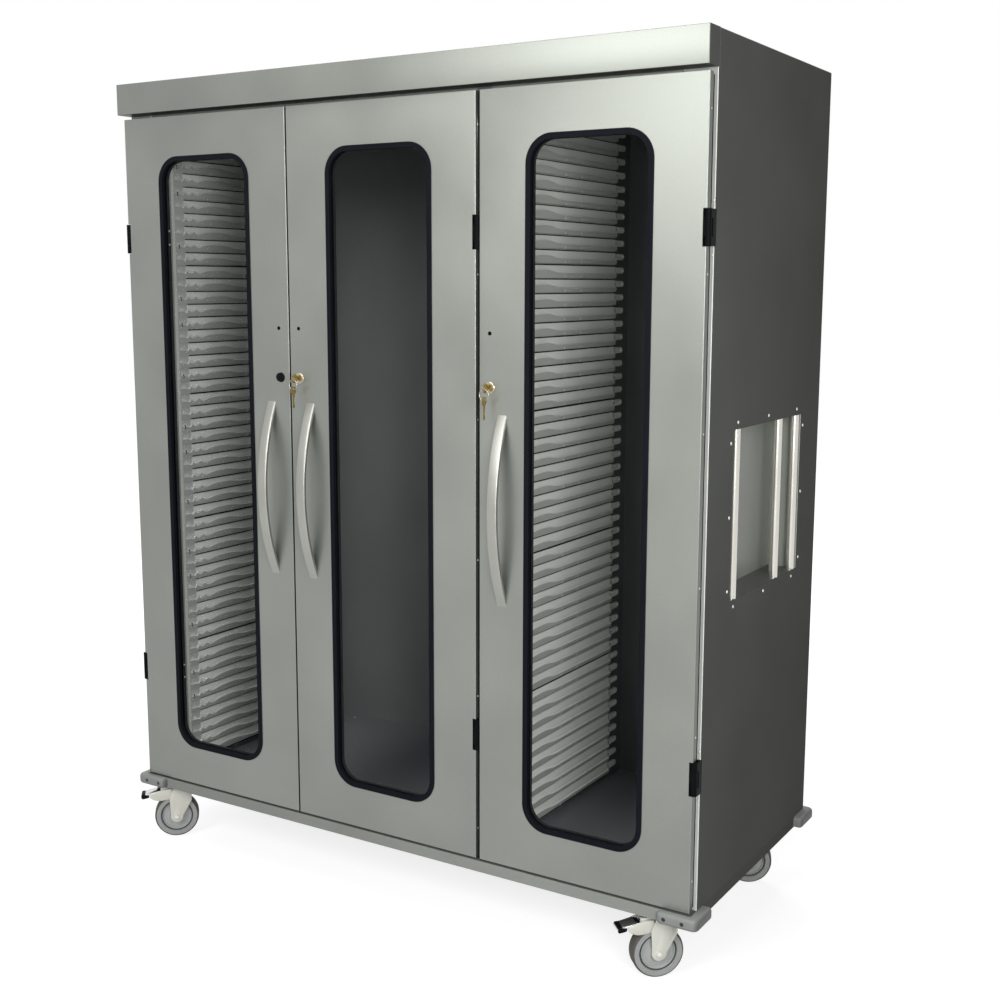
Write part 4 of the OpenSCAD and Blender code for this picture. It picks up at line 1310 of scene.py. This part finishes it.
@dataclass
class KeyLock(Report):
    """A cam lock with a key in it and a spare key on a ring.

    The cam's place behind the door's face and its length upwards differ from door to door.
    """

    door: str
    free: float
    cam_y: float
    cam_length: float
    plug_r: float = 7.0
    case_r: float = 9.5
    case_back: float = -18.4
    cam_r: float = 6.0
    cam_thickness: float = 2.0
    key_thickness: float = 1.6
    bow_y: float = -17.0
    bow_r: float = 9.8
    hole_y: float = -21.5
    hole_r: float = 3.9
    ring_r: float = 11.0
    wire_r: float = 0.8
    ring_drop: float = 2.4
    spare_r: float = 9.0
    spare_hole_r: float = 2.9

    @property
    def x(self) -> float:
        """Lock's place along X."""
        return self.free + LOCK_INSET

    def case(self) -> None:
        """Bezel with a stepped rim and the case inside the door."""
        inner = self.plug_r + 0.1
        profile = [(inner, self.case_back), (self.case_r, self.case_back), (self.case_r, 0.0), (12.0, 0.0),
                   (12.0, 0.8), (11.3, 1.6), (10.0, 2.0), (8.6, 1.7), (8.2, 1.2), (inner, 1.2)]
        mesh = turned("lock case", profile, at(self.x, 0, LOCK_Z), OUTWARD)
        self.place(joined(self.door + "_lock_bezel", [mesh], [Finishes.NICKEL]), self.door + "_door",
                   "lock_brass", self.door + "_lock_case")

    def plug(self) -> None:
        """Turning plug with its cam and the key standing in it."""
        end = -self.cam_y - 4.0
        profile = [(0.0, 1.5), (5.6, 1.5), (6.4, 1.9), (self.plug_r, 1.5), (self.plug_r, -18.1), (4.0, -18.2),
                   (4.0, end), (0.0, end)]
        core = turned("plug", profile, at(self.x, 0, LOCK_Z), OUTWARD)
        neck = self.bow_y + 9.0
        stem = [(neck, 3.2), (-5.0, 3.2), (-5.0, 4.0), (-1.6, 4.0), (-1.6, -4.0), (-5.0, -4.0), (-5.0, -3.2),
                (neck, -3.2)]
        key = plate("key", arc(self.bow_r, 330.0, 30.0, 25, (self.bow_y, 0.0)) + stem, self.key_thickness,
                    lambda u, v, w: at(self.x + w, u, LOCK_Z + v), (self.hole_y, 0.0, self.hole_r))
        cam = arc(self.cam_r, 0.0, 180.0, 10, (0.0, self.cam_length - self.cam_r))
        cam += arc(self.cam_r, 180.0, 360.0, 10)
        arm = plate("cam", cam, self.cam_thickness,
                    lambda u, v, w: at(self.x + u, self.cam_y + 1.0 + w, LOCK_Z + v))
        obj = joined(self.door + "_plug_and_key", [core, key, arm],
                     [Finishes.BRASS, Finishes.BRASS, Finishes.SCREW])
        self.place(bevelled(obj, 0.25), self.door + "_lock", "lock_brass", self.door + "_lock_plug")

    def ring(self) -> None:
        """Ring through the key's eye and the spare key that hangs from it, with its cuts."""
        middle = LOCK_Z - self.ring_drop - self.ring_r
        hang = middle - self.ring_r + 3.0 - self.wire_r
        wire = arc(self.wire_r, 0.0, 360.0, 12, (self.ring_r, 0.0))[:-1]
        loop = turned("ring", wire, at(self.x, self.hole_y, middle), Vector((0, 1, 0)), 64)
        shoulder = [(3.0, -13.0), (3.0, -15.0), (3.6, -15.0), (3.6, -17.0), (3.0, -17.0)]
        cuts = [(3.0, -20.0), (1.6, -21.5), (2.6, -23.5), (1.2, -25.5), (2.4, -27.5), (0.9, -29.5),
                (2.8, -32.0), (1.8, -34.0), (3.0, -36.0), (3.0, -39.0), (0.5, -41.9), (-3.0, -41.9)]
        back = [(-u, v) for u, v in reversed(shoulder)]
        bow = arc(self.spare_r, 242.0, -58.0, 25, (0.0, -4.0))
        key = plate("spare key", bow + shoulder + cuts + back, self.key_thickness,
                    lambda u, v, w: at(self.x + w, self.hole_y + u, hang + v), (0.0, 0.0, self.spare_hole_r))
        self.place(joined(self.door + "_ring_and_key", [loop, key], [Finishes.NICKEL, Finishes.BRASS]),
                   self.door + "_keys", "key_brass", self.door + "_key_ring")

    def build(self) -> None:
        """Builds the lock's pieces."""
        self.case()
        self.plug()
        self.ring()


@dataclass
class Caster(Report):
    """One swivel caster: rounded fork, bolt heads, tyre, wheel rings and, at the front, the pedal."""

    name: str
    side: int
    swivel_y: float
    turn: float
    braked: bool
    swivel_x: float = 666.0
    trail: float = 24.0
    axle_z: float = -84.2
    cheek: float = 25.4
    pin_spot: Point = (57.0, 13.0, -22.0)
    cap_width: float = 33.0
    pad_width: float = 20.0
    wing_out: float = 17.4
    wing_thickness: float = 1.6
    tyre_r: float = 54.0
    bead_r: Pair = (18.5, 27.0)

    def local(self, x: float, y: float, z: float) -> Vector:
        """Finds a point drawn from the swivel axis, with the wheel towards +X.

        Args:
            x: Millimetres towards the wheel.
            y: Millimetres across.
            z: Millimetres above the base's underside.

        Returns:
            The place in metres.
        """
        a = math.radians(self.turn)
        return at(self.side * self.swivel_x + x * math.cos(a) - y * math.sin(a),
                  self.swivel_y + x * math.sin(a) + y * math.cos(a), BASE_LOW + z)

    def across(self, way: int) -> Vector:
        """Direction of the axle in the row frame, towards one side."""
        return (self.local(0, way, 0) - self.local(0, 0, 0)).normalized()

    def fork(self) -> None:
        """Fork with rounded edges, axle bolt and nut and, where there is a pedal, its pin's heads."""
        # The rear forks' edges stay sharper, as a wider rounding would reach into the hub
        meshes = taken(bevelled(copy_of_node("fork copy", self.name + "_fork"), 0.8 if self.braked else 0.25))
        bolt = [(0.0, 1.6), (3.0, 1.6), (4.6, 1.2), (5.4, 0.0), (0.0, 0.0)]
        rivet = [(0.0, 1.5), (2.2, 1.2), (3.2, 0.0), (0.0, 0.0)]
        pin_x, pin_y, pin_z = self.pin_spot
        for way, corners in ((-1, 32), (1, 6)):
            spot, axis = self.local(self.trail, way * self.cheek, self.axle_z), self.across(way)
            meshes.append(turned("bolt", bolt, spot, axis, corners))
            if self.braked:
                meshes.append(turned("pin head", rivet, self.local(pin_x, way * pin_y, pin_z), axis, 20))
        dress = [Finishes.FORK] + [Finishes.SCREW] * (len(meshes) - 1)
        self.place(joined(self.name + "_fork_body", meshes, dress), self.name + "_caster", "caster_steel",
                   self.name + "_fork")

    def roller(self) -> None:
        """Tyre with its dark tread, and the rings of the wheel centre on both faces."""
        spot = self.local(self.trail, 0, self.axle_z)
        wall = [(38.7, 12.9), (40.3, 15.9), (50.2, 15.9)]
        tread = [(50.0, 16.0), (52.2, 15.0), (53.2, 13.8), (self.tyre_r, 10.6)]
        meshes = []
        for name, half in (("wall", wall), ("tread", tread)):
            profile = [(r, -h) for r, h in half] + half[::-1]
            meshes.append(turned(name, profile, spot, self.across(1), 72))
        self.place(joined(self.name + "_tyre_body", meshes, [Finishes.TYRE, Finishes.TREAD]),
                   self.name + "_roller", "tyre_rubber", self.name + "_tyre")
        dark = [(35.9, 12.6), (35.9, 13.6), (36.7, 14.2), (38.3, 14.2), (38.9, 13.6), (38.9, 12.6)]
        meshes, dress = [], []
        for way in (-1, 1):
            meshes.append(turned("dark ring", dark, spot, self.across(way), 64))
            dress.append(Finishes.RING)
            for r in self.bead_r:
                bead = [(r - 1.4, 8.5), (r - 0.8, 10.7), (r + 0.8, 10.7), (r + 1.4, 8.5)]
                meshes.append(turned("bead", bead, spot, self.across(way)))
                dress.append(Finishes.WHEEL)
        self.place(joined(self.name + "_wheel_rings", meshes, dress), self.name + "_roller", "wheel_plastic")

    def pedal(self) -> None:
        """Chromed pedal lever between two pale wings, with a black cap and a black pad near its pivot."""
        cap = [(90.0, -25.5), (102.0, -24.2), (108.0, -24.6), (109.4, -27.0), (109.4, -33.0), (106.0, -36.0),
               (97.0, -34.6), (90.0, -32.5)]
        pad = [(62.0, -17.0), (70.0, -16.4), (72.0, -18.0), (72.0, -21.0), (62.0, -21.0)]
        wing = [(88.0, -25.5), (69.0, -16.5), (44.0, -13.0), (34.0, -13.0), (34.0, -38.0), (58.0, -42.0),
                (69.0, -42.0), (80.0, -38.5), (88.0, -33.0)]
        lever = bevelled(copy_of_node("pedal copy", self.name + "_pedal"), 0.8)
        pads = [plate("pad", outline, width, lambda u, v, w: self.local(u, w, v))
                for outline, width in ((cap, self.cap_width), (pad, self.pad_width))]
        black = bevelled(joined("pads", pads, [Finishes.PLUG] * 2), 1.2, 3, 20.0)
        sides = [plate("wing", wing, self.wing_thickness,
                       lambda u, v, w, way=way: self.local(u, way * self.wing_out + w, v))
                 for way in (-1, 1)]
        wings = bevelled(joined("wings", sides, [Finishes.FORK] * 2), 0.4)
        made = joined(self.name + "_brake_pedal", taken(lever, black, wings),
                      [Finishes.CHROME, Finishes.PLUG, Finishes.FORK])
        self.place(made, self.name + "_brake", "black_plastic", self.name + "_pedal")

    def build(self) -> None:
        """Builds the caster's pieces."""
        self.fork()
        self.roller()
        if self.braked:
            self.pedal()


@dataclass
class Bumpers(Report):
    """Corner bumpers with rounded corners and soft edges."""

    height: float = 24.8
    arm: float = 68.0
    side_arm: float = 65.0
    side_out: float = BUMPER_SIDE
    rear_out: float = 20.0
    corner: float = 14.0
    end: float = 9.0
    soft: float = 7.0

    def outline(self, edge: float, out: float, way: int, inset: float) -> List[Pair]:
        """Plan of the right bumper at an inset from its outer sides.

        Args:
            edge: Place of the base's front or rear face.
            out: How far the bumper stands out from that face.
            way: -1 at the front and 1 at the rear.
            inset: How far the outer sides are moved in.

        Returns:
            The corners in order, in millimetres.
        """
        far_x, far_y = SIDE_X + self.side_out - inset, edge + way * (out - inset)
        near_x, near_y = SIDE_X - self.arm + inset, edge - way * (self.side_arm - inset)
        points = [(near_x, edge)]
        for x, y, r, sx, sy in ((near_x, far_y, self.end, 1, -way), (far_x, far_y, self.corner, -1, -way),
                                (far_x, near_y, self.end, -1, way)):
            r = max(1.0, r - inset)
            turn = [(x + sx * (r - u), y + sy * (r - v)) for v, u in arc(r, 0.0, 90.0, 8)]
            points += turn if sx * sy * way > 0 else turn[::-1]
        return points + [(SIDE_X, near_y), (SIDE_X, edge)]

    def bumper(self, side: int, edge: float, out: float, way: int) -> bpy.types.Mesh:
        """One bumper as levels with a rounded top and bottom edge.

        Args:
            side: -1 on the left and 1 on the right.
            edge: Place of the base's front or rear face.
            out: How far the bumper stands out from that face.
            way: -1 at the front and 1 at the rear.

        Returns:
            The mesh.
        """
        levels = [(self.soft - u, self.soft - v) for v, u in arc(self.soft, 0.0, 90.0, 5)]
        levels += [(inset, self.height - z) for inset, z in reversed(levels)]
        points = [at(side * x, y, BASE_LOW + z) for inset, z in levels
                  for x, y in self.outline(edge, out, way, inset)]
        size = len(points) // len(levels)
        return mesh_from("bumper", points, bands(size, len(levels)) + caps(size, len(levels)), 50.0)

    def build(self) -> None:
        """Builds the four bumpers as one piece."""
        ends = ((BASE_FRONT, BUMPER_OUT, -1), (BASE_REAR, self.rear_out, 1))
        meshes = [self.bumper(side, edge, out, way) for side in (-1, 1) for edge, out, way in ends]
        self.place(joined("corner_bumper_set", meshes, [Finishes.BUMPER] * len(meshes)), "cabinet",
                   "grey_plastic", "corner_bumpers")


@dataclass
class Studio:
    """Floor, backdrop, lamps and the camera, in metres and radians."""

    lens: float = 48.53
    shift: Pair = (-0.0006, -0.0065)
    spot: Point = (1.7180, -2.6126, 1.3837)
    pitch: float = -0.1550
    roll: float = -0.0025
    heading: float = 0.5525
    floor_half: float = 12.0
    lamps: Tuple[Tuple[str, Point, Point, float, float], ...] = (
        ("key", (-0.4, -4.0, 2.75), (0.3, -0.3, 1.2), 2.1, 97.0),
        ("right soft box", (2.1, -2.1, 1.5), (0.3, -0.1, 1.1), 1.0, 50.0),
        ("top soft box", (0.0, -0.6, 4.2), (0.0, 0.0, 0.0), 2.6, 45.0),
        ("rear soft box", (-2.4, 3.4, 2.5), (0.0, 0.2, 0.9), 2.0, 90.0))

    def seen(self, tree: bpy.types.NodeTree) -> Tuple[bpy.types.Node, int]:
        """Adds the switch that tells rays of the eye, also through glass or by a mirror, from all others.

        Args:
            tree: The tree that takes the switch.

        Returns:
            The switch's node and output.
        """
        path = add(tree, "ShaderNodeLightPath")
        clear = add(tree, "ShaderNodeMath", {0: (path, "Is Camera Ray"), 1: (path, "Is Transmission Ray")},
                    operation="MAXIMUM")
        every = add(tree, "ShaderNodeMath", {0: (clear, 0), 1: (path, "Is Glossy Ray")}, operation="MAXIMUM")
        return every, 0

    def floor(self) -> None:
        """Pale floor that keeps the cabinet's shadow and fades to white away from it."""
        half = self.floor_half
        mesh = loose_mesh("floor", [(-half, -half, 0), (half, -half, 0), (half, half, 0), (-half, half, 0)],
                          [(0, 1, 2, 3)])
        made = bpy.data.materials.new("pale floor")
        made.use_nodes = True
        tree = made.node_tree
        tree.nodes.clear()
        paint = add(tree, "ShaderNodeBsdfDiffuse", {"Color": (0.36, 0.36, 0.36, 1)})
        place = add(tree, "ShaderNodeTexCoord")
        away = add(tree, "ShaderNodeVectorMath", {0: (place, "Object")}, operation="LENGTH")
        level = add(tree, "ShaderNodeMapRange", {
            "Value": (away, 1), "From Min": 1.1, "From Max": 3.2, "To Min": 0.80, "To Max": 1.0})
        glow = add(tree, "ShaderNodeEmission", {"Color": (1, 1, 1, 1), "Strength": (level, 0)})
        both = add(tree, "ShaderNodeAddShader", {0: (paint, 0), 1: (glow, 0)})
        seen = add(tree, "ShaderNodeMixShader", {0: self.seen(tree), 1: (paint, 0), 2: (both, 0)})
        add(tree, "ShaderNodeOutputMaterial", {"Surface": (seen, 0)})
        mesh.materials.append(made)
        new_object("floor", mesh)

    def sky(self) -> None:
        """White backdrop for what is seen, with a soft grey light on everything else."""
        world = bpy.data.worlds.new("studio")
        bpy.context.scene.world = world
        world.use_nodes = True
        tree = world.node_tree
        tree.nodes.clear()
        white = add(tree, "ShaderNodeBackground", {"Color": (1, 1, 1, 1), "Strength": 1.0})
        soft = add(tree, "ShaderNodeBackground", {"Color": (0.95, 0.97, 1, 1), "Strength": 0.17})
        both = add(tree, "ShaderNodeMixShader", {0: self.seen(tree), 1: (soft, 0), 2: (white, 0)})
        add(tree, "ShaderNodeOutputWorld", {"Surface": (both, 0)})

    def lamp(self, name: str, spot: Point, aim: Point, size: float, power: float) -> None:
        """Adds a square soft lamp.

        Args:
            name: Name of the lamp.
            spot: Its place.
            aim: Point that it is aimed at.
            size: Length of its sides.
            power: Its power in watts.
        """
        data = bpy.data.lights.new(name, "AREA")
        data.shape = "SQUARE"
        data.size = size
        data.energy = power
        made = new_object(name, data)
        made.location = spot
        made.rotation_euler = (Vector(aim) - Vector(spot)).to_track_quat("-Z", "Y").to_euler()

    def camera(self) -> None:
        """Camera at the photograph's place."""
        data = bpy.data.cameras.new("camera")
        data.lens = self.lens
        data.sensor_width = 36.0
        data.shift_x, data.shift_y = self.shift
        data.clip_start = 0.05
        made = new_object("camera", data)
        turn = (Matrix.Rotation(self.heading, 4, "Z") @ Matrix.Rotation(self.pitch, 4, "X")
                @ Matrix.Rotation(self.roll, 4, "Y") @ Matrix.Rotation(math.pi / 2, 4, "X"))
        made.matrix_world = Matrix.Translation(self.spot) @ turn
        bpy.context.scene.camera = made

    def build(self) -> None:
        """Builds the studio."""
        self.floor()
        self.sky()
        for entry in self.lamps:
            self.lamp(*entry)
        self.camera()


def main() -> None:
    """Dresses the cabinet."""
    logging.basicConfig(level=logging.INFO, format="%(name)s: %(message)s")
    FRAME.update(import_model())
    bpy.context.scene.view_settings.view_transform = "Standard"
    CadDress().build()
    sheets = FoldedSheets()
    sheets.build()
    sheets.shade_strip()
    TrayRails().build(stack_pattern())
    Fasteners().build(head_pattern())
    bows = bow_pattern()
    for door, (free, side) in DOORS.items():
        BowHandle(door, free, side).build(bows)
    CoverPlug().build()
    KeyLock("middle", MIDDLE_FREE, 22.0, 34.0).build()
    KeyLock("right", RIGHT_FREE, 31.0, 18.0).build()
    Bumpers().build()
    for end, swivel_y, turn, braked in (("front", 55.0, 223.0, True), ("rear", 560.0, 203.0, False)):
        Caster(end + "_left", -1, swivel_y, turn, braked).build()
        Caster(end + "_right", 1, swivel_y, turn, braked).build()
    Studio().build()


if __name__ == "__main__":
    main()
